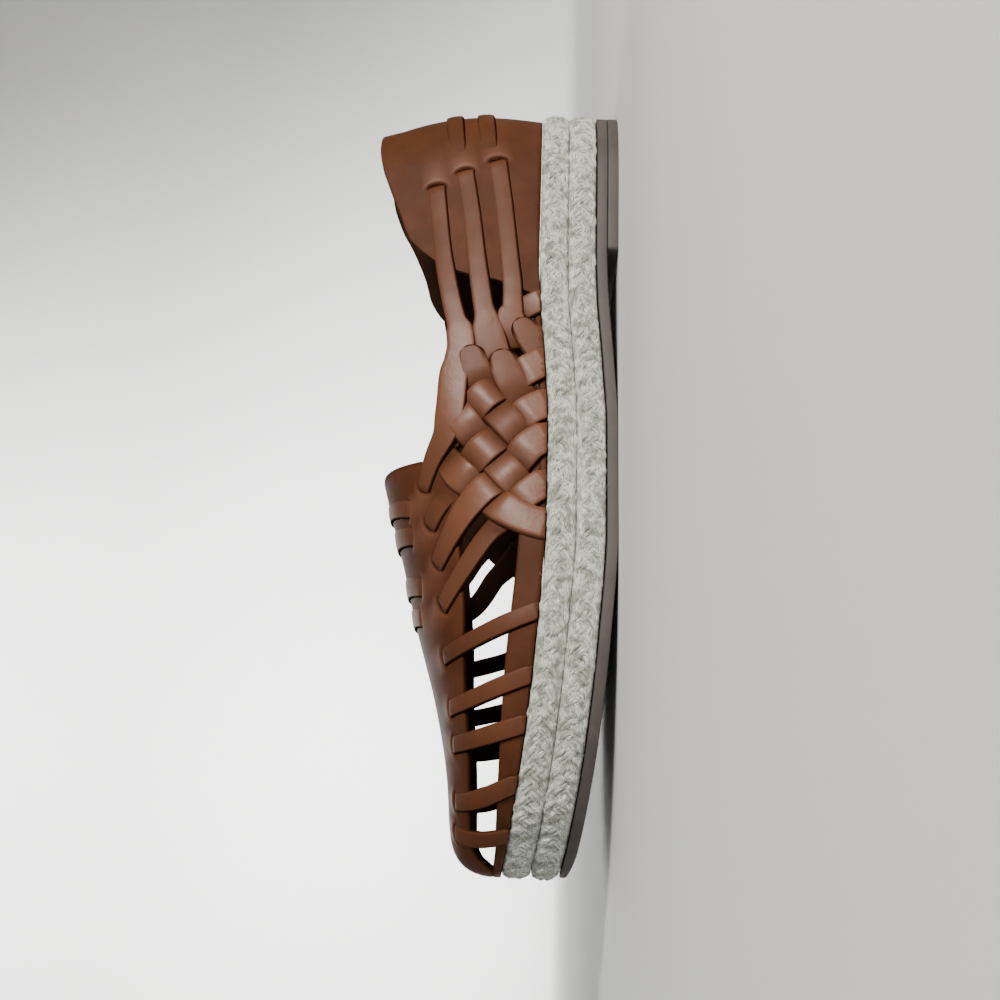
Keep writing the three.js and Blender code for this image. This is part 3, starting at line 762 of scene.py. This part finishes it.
# %% Straps from the heel
STRAPS = {
    "edge_strap": {
        "along": [35.8, 56.4, 75.8, 83, 87, 91.7, 97, 102, 113.5, 120, 129.2, 138.3],
        "rise": [33.4, 30.9, 27.7, 26.3, 25.4, 25.2, 26.2, 27.7, 29, 30, 34.1, 36.5],
        "width": [6.2, 6.2, 6.4, 6.6, 8.8, 9.2, 9.2, 9.6, 9.6, 8.6, 7, 5.6],
        "over": [0.55, 0.55, 0.75, 0.85, 0.95, 1, 1, 1, 1, 0.9, 0.7, 0.6],
    },
    "middle_strap": {
        "along": [30.5, 48.4, 71.5, 79, 83, 87, 94, 100],
        "rise": [24.6, 21.5, 18.5, 17.6, 17, 16.8, 15.8, 13.8],
        "width": [6.2, 6.2, 6.5, 6.7, 8, 10.2, 10.8, 9.4],
        "over": [0.55, 0.55, 0.75, 0.82, 0.9, 0.88, 0.75, 0.3],
    },
    "middle_tongue": {
        "along": [93.8, 98, 103.4, 113.3, 120.1],
        "rise": [13.6, 12.6, 10.8, 5, 0],
        "width": [8.6, 9.4, 9.8, 9.8, 9.8],
        "over": [0.93, 0.95, 0.95, 0, 0],
    },
    "low_strap": {
        "along": [26.5, 48.3, 72, 78.5, 82, 86, 93],
        "rise": [14.2, 11, 8.5, 8.6, 9.4, 9.6, 9.4],
        "width": [6.2, 6.2, 6.4, 6.8, 8.8, 9, 8],
        "over": [0.55, 0.55, 0.75, 0.85, 0.88, 0.8, 0.3],
    },
    "low_tongue": {
        "along": [83.4, 88, 93, 97],
        "rise": [7.4, 5.2, 2.2, 0],
        "width": [7.8, 8.8, 9.4, 9.4],
        "over": [1.0, 0.98, 0.9, 0.6],
    },
    "back_0": {
        "along": [80.5, 84.6, 89.4, 94.7, 98],
        "rise": [9, 7, 4.4, 1.8, 0],
        "width": [6.5, 7.6, 8.4, 8.4, 8.4],
        "over": [0, 0.3, 0.5, 0.1, 0],
    },
}
print(len(STRAPS), "straps, tongues and the short strip below them, a side")

# %% Strips of the weave
WEAVE = {
    "forward_0": {
        "along": [77, 79, 82],
        "rise": [0, 4, 9],
        "width": [8, 8, 7.5],
        "over": [1, 0.7, 0],
    },
    "forward_1": {
        "along": [97.4, 100.4, 104.4, 109.3, 117.1, 122.5],
        "rise": [0, 4.7, 11.6, 18.6, 25.4, 30],
        "width": [10.6, 10.6, 10.6, 10.6, 10, 9],
        "over": [1, 1, 0, 1, 0, 0],
    },
    "forward_2": {
        "along": [111.8, 114.3, 120.2, 126.7, 134.2, 144, 149.9],
        "rise": [0, 5, 11.6, 18.5, 25.4, 31.6, 34.2],
        "width": [10.6, 10.6, 10.6, 10.6, 10, 7.8, 7],
        "over": [1, 1, 0, 1, 0, 0.6, 0.6],
    },
    "forward_3": {
        "along": [122.6, 126.1, 134.3, 140.1, 147, 154.6, 162],
        "rise": [0, 4.9, 11.7, 18.2, 23.6, 27.8, 31],
        "width": [10.6, 10.6, 10.4, 9.8, 8.8, 7.8, 7],
        "over": [1, 1, 0, 1, 0.9, 0.7, 0.6],
    },
    "forward_4": {
        "along": [137.6, 141.5, 148.5, 153.4, 163, 174.5],
        "rise": [0, 5.1, 11.6, 16, 21.8, 28],
        "width": [10, 9.6, 8, 7, 6.8, 6.6],
        "over": [1, 1, 0, 0.5, 0.7, 0.6],
    },
    "back_1": {
        "along": [92.4, 100, 109.3, 118.3, 126.1, 132.8],
        "rise": [23, 21.6, 18.6, 11.7, 4.9, 0],
        "width": [8.4, 9.6, 9.8, 9.8, 9.8, 9.8],
        "over": [1.08, 1.02, 0, 1, 0, 0],
    },
    "back_2": {
        "along": [108.5, 117.1, 125.8, 134.3, 141.5, 148.1],
        "rise": [30.5, 25.4, 18.5, 11.7, 5.1, 0],
        "width": [8, 9.8, 9.8, 9.8, 9.8, 9.8],
        "over": [0, 1, 0, 1, 0, 0],
    },
    "back_3": {
        "along": [126.5, 134.2, 140.1, 145.8, 149.5, 151],
        "rise": [31.5, 25.4, 18.6, 12, 5, 0],
        "width": [8, 9.6, 9.8, 9.8, 9.6, 9.6],
        "over": [0, 1, 0, 1, 1, 1],
    },
}
STRIPS = {**STRAPS, **WEAVE}
print(len(WEAVE), "strips of the weave a side")

# %% [markdown]
# ## Paths over the last
# A strip that ends in a slit is tucked in there, and one that starts as a tongue has a round end that
# lies on a strap. The same strips, mirrored, make the inner side. Four of those cross the ridge of the
# vamp in one piece and end in slits on the outer side, so each has two stretches that are joined on the
# ridge. Five bars a side close the toe, and two wraps go round the heel.

# %% Ends, bars and wraps
TUCKED = {
    "edge_strap": ["start", "end"],
    "middle_strap": ["start"],
    "low_strap": ["start"],
    "forward_2": ["end"],
    "forward_3": ["end"],
    "forward_4": ["end"],
}
TONGUES = ["middle_tongue", "low_tongue", "back_1"]
LEANING_BACK = ["middle_tongue", "low_tongue", "back_1", "back_2", "back_3"]
CROSSINGS = {
    "strip": ["edge_strap", "forward_2", "forward_3", "forward_4"],
    "ridge": [139, 148, 163.5, 173],
    "along": [142, 150.5, 166.5, 175],
    "rise": [39.8, 38.5, 34.2, 33.6],
}
BARS = {
    "foot": [176.5, 195, 209, 225.5, 240],
    "head": [189, 205.5, 217.5, 236, 245],
}
WRAPS = {
    "side_rise": [26.5, 16.4],
    "back_rise": [29.3, 19.2],
}
BAR_WIDTH = 5.6
BAR_TUCK = {1: 0.8, -1: 0.95}
WRAP_WIDTH = 5.8
WRAP_REACH = 27.0
print(len(BARS["foot"]), "toe bars a side,", len(WRAPS["side_rise"]), "heel wraps")

# %% Paths of straps
SIDES = {"outer": 1, "inner": -1}
TONGUE_ROUND = 3.4
# Strips that lean back get a fainter burnish and painted shade along their edges.
FAINT_SHADE_INK = 0.4


def side_track(name, side):
    track = {key: list(values) for key, values in STRIPS[name].items()}
    if side < 0 and name in CROSSINGS["strip"]:
        ridge_along = CROSSINGS["ridge"][CROSSINGS["strip"].index(name)]
        ends = {"along": ridge_along, "rise": float(ridge_at(ridge_along)), "over": 0.7}
        for key, value in ends.items():
            track[key][-1] = value
    return track


def tip_track(name, ridge_along, along, rise):
    """Last part of an inner strip, from the ridge down to its slit on the outer side."""
    ridge_rise = float(ridge_at(ridge_along))
    track = {"along": [ridge_along, along], "rise": [ridge_rise, rise]}
    return {**track, "width": [STRIPS[name]["width"][-1], 6], "over": [0.7, 0.6]}


def strap_path(track, side, tongue=False, burnish_and_shade_ink=1.0, ridge=None, steps=9):
    rows = np.arange(len(track["along"]))
    t = np.linspace(0, rows[-1], rows[-1] * steps + 1)
    closer = np.linspace(0, 1, 24) ** 2
    if tongue or ridge == "start":
        t = np.concatenate([closer, t[t > 1]])
    if ridge == "end":
        t = np.concatenate([t[t < rows[-1] - 1], rows[-1] - closer[::-1]])
    run = {name: smooth(rows, values)(t) for name, values in track.items()}
    u, angle = surface_at(run["along"], run["rise"], side)
    spine = wall_point(u, angle)
    travel = np.concatenate([[0], np.cumsum(np.linalg.norm(np.diff(spine, axis=0), axis=1))])
    rim = np.zeros(len(t))
    if tongue:
        near = np.clip(travel / TONGUE_ROUND, 0, 1)
        run["width"] = run["width"] * (0.05 + 0.95 * np.sqrt(1 - (1 - near) ** 2))
        # rim paints a shade line along the tongue's round end: painted shade.
        rim = np.clip(1.6 - travel / 4, 0, 1)
    path = {"u": u, "angle": angle, "width": run["width"], "over": run["over"]}
    # shine scales a strip's polish, and with it its painted sheen.
    return {**path, "shine": 0.6 if tongue else 1.0, "rim": rim, "burnish_and_shade_ink": burnish_and_shade_ink}


def joined(first, second):
    """One path from two that meet on the ridge."""
    ends = {}
    for key in ("u", "angle", "width", "over", "rim"):
        ends[key] = np.concatenate([first[key], second[key][1:]])
    return {**first, **ends}

# %% Paths of bars and wraps
def bar_path(foot, head, side, steps=34):
    t = np.linspace(0, 1, steps)
    u = side * (station_at(foot) + (station_at(head) - station_at(foot)) * t)
    angle = angle_at_share(u, BAR_TUCK[side] * t)
    path = {"u": u, "angle": angle, "width": 0 * t + BAR_WIDTH, "over": 0.9 - 0.3 * t}
    return {**path, "shine": 0.5, "rim": 0 * t, "burnish_and_shade_ink": 1.0}


def wrap_path(side_rise, back_rise, steps=61):
    reach = float(station_at(WRAP_REACH))
    u = np.linspace(-reach, reach, steps)
    rise = back_rise + (side_rise - back_rise) * (u / reach) ** 2
    over = 0.85 - 0.6 * (u / reach) ** 4
    path = {"u": u, "angle": angle_at_rise(u, rise), "width": 0 * u + WRAP_WIDTH, "over": over}
    return {**path, "shine": 0.0, "rim": 0 * u, "burnish_and_shade_ink": 1.0}

# %% All the strips
paths = {}
for side_name, side in SIDES.items():
    for name in STRIPS:
        burnish_and_shade_ink = FAINT_SHADE_INK if name in LEANING_BACK else 1.0
        crosses = side < 0 and name in CROSSINGS["strip"]
        path = strap_path(side_track(name, side), side, name in TONGUES, burnish_and_shade_ink, "end" if crosses else None)
        if crosses:
            row = CROSSINGS["strip"].index(name)
            place = [CROSSINGS[key][row] for key in ("ridge", "along", "rise")]
            path = joined(path, strap_path(tip_track(name, *place), 1, ridge="start"))
        paths[f"{name}_{side_name}"] = (path, TUCKED.get(name, []))
    for i, (foot, head) in enumerate(zip(BARS["foot"], BARS["head"])):
        paths[f"toe_bar_{i + 1}_{side_name}"] = (bar_path(foot, head, side), ["end"])
for i, (side_rise, back_rise) in enumerate(zip(WRAPS["side_rise"], WRAPS["back_rise"])):
    paths[f"heel_wrap_{i + 1}"] = (wrap_path(side_rise, back_rise), [])
print(len(paths), "strips")

# %% [markdown]
# ## Slits
# Where a strap goes through a slit, the leather beyond it lies on the hidden strap and stands up like
# a lip with a painted highlight, and the cut shows as a thin bow round the strap's end, painted dark
# as painted shade. Cutting each slit with a boolean would leave ragged little faces. The panels have a
# fine grid instead, and a relief presses the bow in and lifts the lip.

# %% Places of the slits
PANEL = 1.6
SLIT_BACK = 1.0
SHADED = np.array([1.0, 0.0, -0.5])
slits = []


def slit_of(path, end):
    spine = leather_point(path["u"], path["angle"], 0 * path["u"] + PANEL)
    normal = wall_normal(path["u"], path["angle"])
    width = path["width"]
    if end == "start":
        spine = spine[::-1]
        normal = normal[::-1]
        width = width[::-1]
    toward = spine[-1] - spine[-6]
    toward /= np.linalg.norm(toward)
    across = np.cross(normal[-1], toward)
    across *= np.sign(across @ SHADED)
    point = spine[-1] - toward * SLIT_BACK
    return {"point": point, "toward": toward, "across": across, "half": width[-1] / 2}


for path, tucks in paths.values():
    for end in tucks:
        slits.append(slit_of(path, end))
print(len(slits), "slits")

# %% Relief round the slits
CUT_WIDTH = 0.5
CUT_DEPTH = 0.7
LIP_HEIGHT = 0.8
LIP_RUN = 4.5
LIP_START = 0.9
LIP_FLANK = 2.2
SLIT_REACH = 26.0
BOW = 12.0


def slit_relief(points):
    """Height to add to a panel, and how far a point lies in a cut, which also sets the painted shade in
    the cut.
    """
    height = np.zeros(points.shape[:-1])
    cut = np.zeros(points.shape[:-1])
    for slit in slits:
        away = points - slit["point"]
        near = np.linalg.norm(away, axis=-1) < SLIT_REACH
        aside = away @ slit["across"]
        beyond = away @ slit["toward"] + aside * aside / BOW
        flank = np.clip(1 - (aside / (slit["half"] + LIP_FLANK)) ** 2, 0, 1)
        rest = np.exp(-np.maximum(beyond, 0) / LIP_RUN)
        hump = LIP_HEIGHT * np.where(beyond > 0, rest, 0) * flank * near
        reach = np.clip((slit["half"] + 0.4 - np.abs(aside)) / 1.2, 0, 1)
        groove = np.exp(-((beyond / CUT_WIDTH) ** 2)) * reach * near
        height += hump * (1 - np.exp(-((beyond / LIP_START) ** 2)))
        cut = np.maximum(cut, groove)
    return height - CUT_DEPTH * cut, cut

# %% [markdown]
# ## Leather panels
# The counter cups the heel, the vamp covers the toes and ends in a throat tab, a low rand runs round
# the forefoot, and a narrow band backs the feet of the strips. A panel is a fine grid over the last
# with a rounded rim: the outer face drops towards the inner one over the last millimetre, as a skived
# and burnished edge does. A solidified plane would give the thickness too, but a square rim.

# %% Panel helpers
PANEL_SEAM = 1e-4
RIM = [0.0, 0.08, 0.25, 0.5, 0.9]


def rounded(distance):
    t = np.clip(distance / RIM[-1], 0, 1)
    return 0.35 + 0.65 * np.sqrt(1 - (1 - t) ** 2)


def shares(length, columns, low_rim, high_rim):
    """Shares of a row's length for its columns, close together at a rounded rim."""
    fit = min(1.0, length / 6.0)
    low = [d * fit / length for d in RIM] if low_rim else [0.0]
    high = [1 - d * fit / length for d in reversed(RIM)] if high_rim else [1.0]
    middle = np.linspace(low[-1], high[0], columns)[1:-1]
    return np.concatenate([low, middle, high])


def skin(u, angle, rim, relief=True, lift=0.0):
    """Outer and inner grids of a panel, with the values that its material reads."""
    height = np.zeros(u.shape)
    cut = np.zeros(u.shape)
    if relief:
        height, cut = slit_relief(leather_point(u, angle, np.full(u.shape, PANEL)))
    outer = leather_point(u, angle, lift + PANEL * rim + height)
    inner = leather_point(u, angle, lift + np.maximum(height, 0) * 0.7)
    edge = np.clip((1 - rim) * 1.3, 0, 1)
    none = np.zeros(u.size)
    # The lips get polish, and its paler colour there is a painted highlight.
    lip_polish_and_sheen = np.clip(height / LIP_HEIGHT, 0, 1).ravel()
    outer_values = {"edge": edge.ravel(), "flesh": none, "cut": cut.ravel(), "gloss": lip_polish_and_sheen}
    inner_values = {"edge": 0.5 * edge.ravel(), "flesh": none + 1, "cut": none, "gloss": none}
    return outer, inner, outer_values, inner_values


def sheet_parts(outer, inner, outer_values, inner_values, borders):
    """Faces of both grids and of the walls along the named borders."""
    rows, columns = outer.shape[:2]
    faces = grid_faces(rows, columns)
    parts = [(outer.reshape(-1, 3), faces, outer_values), (inner.reshape(-1, 3), faces, inner_values)]
    index = np.arange(rows * columns).reshape(rows, columns)
    lines = {"low": index[:, 0], "high": index[:, -1], "start": index[0], "end": index[-1]}
    for border in borders:
        line = lines[border]
        points = np.concatenate([outer.reshape(-1, 3)[line], inner.reshape(-1, 3)[line]])
        values = {}
        for key in outer_values:
            values[key] = np.concatenate([outer_values[key][line], inner_values[key][line]])
        parts.append((points, grid_faces(2, len(line)), values))
    return parts

# %% Grid of a panel
def band_grid(u, low_angle, high_angle, columns, low_rim, high_rim):
    """Angles of a panel between two edges, and how far its rim is rounded."""
    low = low_angle(u)
    high = high_angle(u)
    angles = []
    rims = []
    for k in range(len(u)):
        line = wall_point(np.full(12, u[k]), np.linspace(low[k], high[k], 12))
        length = np.linalg.norm(np.diff(line, axis=0), axis=1).sum()
        share = shares(length, columns, low_rim, high_rim)
        angles.append(low[k] + (high[k] - low[k]) * share)
        rim = np.ones(len(share))
        if low_rim:
            rim = np.minimum(rim, rounded(share * length))
        if high_rim:
            rim = np.minimum(rim, rounded((1 - share) * length))
        rims.append(rim)
    angles = np.array(angles)
    return np.repeat(u[:, None], angles.shape[1], 1), angles, np.array(rims)

# %% Heel counter
ALL_ROUND = ["low", "high", "start", "end"]
COUNTER = {
    "foot": [0, 12, 25, 35, 46, 54, 60, 63.5, 67, 69.5, 74],
    "outer": [53, 53, 51.3, 48.4, 44.5, 41.5, 36, 31.5, 23.7, 13.5, 2.6],
    "inner": [53, 52.4, 49, 44.5, 40.2, 38, 34.5, 31, 23.7, 13.5, 2.6],
}
outer_collar = column(COUNTER, "foot", "outer")
inner_collar = column(COUNTER, "foot", "inner")


def collar(u):
    return angle_at_rise(u, np.where(u < 0, inner_collar(along_at(u)), outer_collar(along_at(u))))


def feather(u):
    return 0 * u


counter_end = float(station_at(COUNTER["foot"][-1]))
counter_u = np.linspace(-counter_end, counter_end, 380)
counter_grid = band_grid(counter_u, feather, collar, 96, False, True)
counter_parts = sheet_parts(*skin(*counter_grid), ALL_ROUND)
piece("heel_counter", counter_parts, leather, "upper", PANEL_SEAM)
print("counter triangles:", made_triangles["heel_counter"])

# %% Rand and feather band
RAND = {
    "foot": [144, 188, 206, 221, 237, 246, 252],
    "top": [7.6, 7.8, 7, 5.8, 4.1, 2.8, 2.4],
}
BAND_END = 148.0
BAND_RISE = 2.2
BAND_SINK = -0.2
rand_top = column(RAND, "foot", "top")
rand_start = float(station_at(RAND["foot"][0]))
rand_u = np.linspace(rand_start, 2 - rand_start, 220)
rand_grid = band_grid(rand_u, feather, lambda u: angle_at_rise(u, rand_top(along_at(u))), 8, False, True)
rand_parts = sheet_parts(*skin(*rand_grid, relief=False), ALL_ROUND)
piece("toe_rand", rand_parts, leather, "upper", PANEL_SEAM)
band_end = float(station_at(BAND_END))
band_u = np.linspace(-band_end, band_end, 200)
feather_grid = band_grid(band_u, feather, lambda u: angle_at_rise(u, 0 * u + BAND_RISE), 4, False, True)
feather_parts = sheet_parts(*skin(*feather_grid, relief=False, lift=BAND_SINK), ALL_ROUND)
piece("feather_band", feather_parts, leather, "upper", PANEL_SEAM)
print("rand triangles:", made_triangles["toe_rand"], "band:", made_triangles["feather_band"])

# %% Vamp panel with its throat tab
VAMP = {
    "foot": [127.5, 129.5, 134, 142, 150, 156, 170, 200, 225, 237, 244, 248, 250, 251, 252],
    "edge": [0.74, 0.63, 0.56, 0.52, 0.53, 0.57, 0.57, 0.63, 0.61, 0.57, 0.53, 0.4, 0.2, 0.1, 0.1],
}
# Rim sizes are stretched along the foot here, because the throat tab's edge is a broad, soft one.
THROAT_RIM = 140.0
VAMP_ROWS = 240
VAMP_SEAM = 2e-3
vamp_edge = column(VAMP, "foot", "edge")
vamp_start = float(station_at(VAMP["foot"][0]))
throat = vamp_start + np.array(RIM) / THROAT_RIM
vamp_u = np.concatenate([throat[:-1], np.linspace(throat[-1], 1, VAMP_ROWS)])


def ridge(u):
    return 0 * u + np.pi / 2


vamp_half = band_grid(vamp_u, lambda u: angle_at_share(u, vamp_edge(along_at(u))), ridge, 88, True, False)
throat_rim = rounded((vamp_u - vamp_start) * THROAT_RIM)[:, None]
vamp_u_grid = np.concatenate([vamp_half[0], -vamp_half[0][:, -2::-1]], 1)
vamp_angle = np.concatenate([vamp_half[1], vamp_half[1][:, -2::-1]], 1)
vamp_rim = np.minimum(np.concatenate([vamp_half[2], vamp_half[2][:, -2::-1]], 1), throat_rim)
vamp_parts = sheet_parts(*skin(vamp_u_grid, vamp_angle, vamp_rim), ["low", "high", "start"])
piece("vamp_panel", vamp_parts, leather, "upper", VAMP_SEAM)
print("vamp triangles:", made_triangles["vamp_panel"])

# %% [markdown]
# ## Leather strips
# Each strip is one section swept along its path over the last. The section is a flat strap with a
# slightly crowned face, a rounded edge on the side towards the light and a broad skived edge on the
# side away from it, painted near-black there as painted shade. The layer column bends it over and
# under its neighbours, and at a slit its end dives under the lip. Where a strap lies on a panel it is
# tilted, so that one side is flush and only the painted shade of that edge stands out. A cloth
# simulation could weave them too, but the pattern would drift from the photograph.

# %% Section of a strap
# The edge on the side away from the light: its dark values are painted shade.
SHADE_SIDE_EDGE = {
    "inset": [0.3, 0.0, 0.02, 0.14, 0.34, 0.6, 0.85],
    "height": [0.0, 0.2, 0.42, 0.62, 0.8, 0.93, 1.0],
    "dark": [1.0, 1.0, 1.0, 1.0, 1.0, 0.6, 0.0],
}
ROUND_EDGE = {
    "inset": [0.42, 0.18, 0.06, 0.0, 0.08, 0.3],
    "height": [1.0, 0.91, 0.72, 0.42, 0.14, 0.0],
    "dark": [0.0, 0.1, 0.35, 0.7, 0.9, 1.0],
}
FACE = [0.66, 0.33, 0.0, -0.33, -0.66]


def strap_section():
    """Closed outline as lists: share of the half width, inset in mm, height share, dark (painted shade on
    the side away from the light, burnish on the other), raw side.
    """
    outline = []
    for inset, height, dark in zip(*SHADE_SIDE_EDGE.values()):
        outline.append((1.0, inset, height, dark, 0.0 if height > 0.3 else 1.0))
    outline += [(share, 0.0, 1.0, 0.0, 0.0) for share in FACE]
    for inset, height, dark in zip(*ROUND_EDGE.values()):
        outline.append((-1.0, inset, height, dark, 0.0 if height > 0.3 else 1.0))
    outline += [(share, 0.0, 0.0, 0.0, 1.0) for share in FACE[::-1]]
    return np.array(outline).T


SECTION = strap_section()
print("a strap's section has", SECTION.shape[1], "points")

# %% Height of a strap and its width on the last
UNDER = -0.7
OVER = 1.45
DIVE = 1.8
DIVE_RUN = 1.5


def strap_lift(path, tucks, distance):
    """Height of a strap's back over the last, diving at its slits."""
    lift = UNDER + (OVER - UNDER) * path["over"]
    for end, gone in (("start", distance), ("end", distance[-1] - distance)):
        if end in tucks:
            near = np.clip(1 - gone / DIVE_RUN, 0, 1)
            lift = lift - DIVE * near * near * (3 - 2 * near)
    return lift


def step_across(u, angle, across):
    """Change of station and of angle for a millimetre across a strap."""
    inside = np.clip(angle, STEP, np.pi / 2 - STEP)
    by_u = (wall_point(u + STEP, inside) - wall_point(u - STEP, inside)) / (2 * STEP)
    by_angle = (wall_point(u, inside + STEP) - wall_point(u, inside - STEP)) / (2 * STEP)
    stretch_u = (by_u * by_u).sum(1)
    stretch_angle = (by_angle * by_angle).sum(1)
    shear = (by_u * by_angle).sum(1)
    part_u = (across * by_u).sum(1)
    part_angle = (across * by_angle).sum(1)
    scale = stretch_u * stretch_angle - shear * shear
    step_u = (part_u * stretch_angle - part_angle * shear) / scale
    step_angle = (part_angle * stretch_u - part_u * shear) / scale
    return step_u[:, None], step_angle[:, None]

# %% Sweep the strips
STRAP = 1.35
CROWN = 0.25
TILT = 0.3
LEVEL_FROM = 1.0
LEVEL_RUN = 0.3
TONGUE_SHADE_RUN = 0.7


def sweep(path, tucks):
    u = path["u"]
    angle = path["angle"]
    spine = wall_point(u, angle)
    pace = np.linalg.norm(np.gradient(spine, axis=0), axis=1)
    distance = np.concatenate([[0], np.cumsum((pace[1:] + pace[:-1]) / 2)])
    lift = strap_lift(path, tucks, distance)
    normal = wall_normal(u, angle)
    across = np.cross(normal, np.gradient(spine, axis=0))
    across /= np.linalg.norm(across, axis=1, keepdims=True)
    step_u, step_angle = step_across(u, angle, across)
    share, inset, height, dark, raw = SECTION
    half = path["width"][:, None] / 2
    shaded = 1 if (across @ SHADED).mean() > 0 else -1
    reach = shaded * (share * half - np.sign(share) * inset)
    crown = CROWN * (1 - np.clip(np.abs(reach) / half, 0, 1) ** 2) * (height > 0.6)
    on_panel = np.clip((0.9 - path["over"]) / 0.3, 0, 1) * np.clip((path["over"] - 0.2) / 0.3, 0, 1)
    tilt = TILT * on_panel[:, None] * shaded * reach / half
    offset = lift[:, None] + STRAP * height + crown + tilt
    wide_u = u[:, None] + reach * step_u
    wide_angle = np.clip(angle[:, None] + reach * step_angle, 0, np.pi / 2)
    for end in (0, -1):
        if angle[end] < 0.01:
            wide_angle[end] = 0
    # Stations crowd together at the ridge, so a strap lies on the last's tangent plane there.
    level = spine[:, None] + across[:, None] * reach[..., None] + normal[:, None] * offset[..., None]
    high = np.clip((angle - LEVEL_FROM) / LEVEL_RUN, 0, 1)[:, None, None]
    points = leather_point(wide_u, wide_angle, offset) * (1 - high) + level * high
    rows, columns = reach.shape
    faces = grid_faces(rows, columns, False, True)
    faces.append(tuple(range(columns)))
    faces.append(tuple(range(rows * columns - 1, (rows - 1) * columns - 1, -1)))
    # Strips raised in the weave get polish; its paler colour is a painted sheen.
    polish_and_sheen_share = np.repeat(path["shine"] * np.clip((path["over"] - 0.4) / 0.6, 0, 1), columns)
    # Dark values: burnish on the rounded edge, painted shade on the edge away from the light.
    shade = np.maximum(dark * path["burnish_and_shade_ink"], path["rim"][:, None] * (inset > 0.1))
    # A painted shade line across the very end of a tongue.
    tongue_end_shade = np.clip(1 - distance / TONGUE_SHADE_RUN, 0, 1) * (path["rim"].max() > 0)
    shade = np.maximum(shade, tongue_end_shade[:, None])
    values = {"edge": shade.ravel(), "flesh": np.tile(raw, rows), "cut": 0 * polish_and_sheen_share, "gloss": polish_and_sheen_share}
    return points.reshape(-1, 3), faces, values


for name, (path, tucks) in paths.items():
    piece(name, [sweep(path, tucks)], leather, "upper")
print("strip triangles:", sum(made_triangles[name] for name in paths))

# %% [markdown]
# ## Floor, light and camera
# The photograph was lit softly from above the near side and from the heel end, on white. A pale paper
# sweep, floor and wall in one, and four soft boxes give that, one of them on the paper alone. The
# camera stands low at the shoe's outer side, about 14 degrees towards the toe, and is rolled so that
# the heel points up in the picture, as it lies in the photograph.

# %% Floor
floor_material = grained("matt_white_paper_sweep", "#f0f0ee", "#f5f5f3", 400, 2.0, 0.01, 0.9, 1.45)
bend = np.linspace(0, np.pi / 2, 25)
sweep_y = np.concatenate([[3.0], -0.9 - 0.6 * np.sin(bend), [-1.5]])
sweep_z = np.concatenate([[0.0], 0.6 - 0.6 * np.cos(bend), [3.0]])
sweep_points = np.array([(x, y, z) for y, z in zip(sweep_y, sweep_z) for x in (-3.0, 3.0)])
floor_mesh = bpy.data.meshes.new("studio_floor")
floor_mesh.from_pydata(sweep_points.tolist(), [], grid_faces(len(sweep_y), 2))
floor_mesh.shade_smooth()
floor_mesh.materials.append(floor_material)
floor = bpy.data.objects.new("studio_floor", floor_mesh)
bpy.context.scene.collection.objects.link(floor)
print("paper sweep:", len(sweep_points), "points")

# %% Light
SHOE_CENTRE = Vector((0.0, 0.0, 0.04))


def soft_box(name, place, size, power, colour, target=SHOE_CENTRE, spread=180):
    lamp = bpy.data.lights.new(name, "AREA")
    lamp.shape = "DISK"
    lamp.size = size
    lamp.energy = power
    lamp.spread = math.radians(spread)
    lamp.color = linear(colour)[:3]
    holder = bpy.data.objects.new(name, lamp)
    holder.location = place
    holder.rotation_mode = "QUATERNION"
    holder.rotation_quaternion = (Vector(target) - Vector(place)).to_track_quat("-Z", "Y")
    bpy.context.scene.collection.objects.link(holder)


soft_box("key_box", (-0.55, 0.95, 0.35), 0.3, 15.0, "#fffaf4")
soft_box("fill_box", (0.6, 1.0, 0.5), 0.9, 2.0, "#f4f7ff")
soft_box("top_box", (-0.1, 0.3, 1.3), 0.8, 1.5, "#ffffff")
soft_box("sweep_box", (0.0, -0.75, 1.5), 1.0, 22.0, "#ffffff", (0.0, -1.5, 0.3), 80)
world = bpy.data.worlds.new("pale_room")
world.use_nodes = True
world.node_tree.nodes["Background"].inputs["Color"].default_value = linear("#f2f4f6")
world.node_tree.nodes["Background"].inputs["Strength"].default_value = 0.25
bpy.context.scene.world = world
print("lights:", sorted(lamp.name for lamp in bpy.data.lights))

# %% Camera
CAMERA_PLACE = Vector((0.1165, 0.4347, 0.025))
CAMERA_TARGET = Vector((0.0069, -0.0018, 0.0359))
CAMERA_ROLL = math.radians(1.26)
FOCAL_PIXELS = 1383.0
PICTURE_PIXELS = 1000
SENSOR_WIDTH = 36.0
forward = (CAMERA_TARGET - CAMERA_PLACE).normalized()
heelward = forward.cross(Vector((0, 0, 1))).normalized()
upward = heelward.cross(forward)
right = math.cos(CAMERA_ROLL) * -upward + math.sin(CAMERA_ROLL) * heelward
up = math.cos(CAMERA_ROLL) * heelward - math.sin(CAMERA_ROLL) * -upward
lens = bpy.data.cameras.new("camera")
lens.sensor_width = SENSOR_WIDTH
lens.lens = SENSOR_WIDTH * FOCAL_PIXELS / PICTURE_PIXELS
lens.clip_start = 0.01
camera = bpy.data.objects.new("camera", lens)
turn = Matrix((right, up, -forward)).transposed().to_4x4()
camera.matrix_world = Matrix.Translation(CAMERA_PLACE) @ turn
bpy.context.scene.collection.objects.link(camera)
bpy.context.scene.camera = camera
print("lens:", round(lens.lens, 2), "mm")

# %% Sizes and finish
print("triangles in all:", sum(made_triangles.values()))
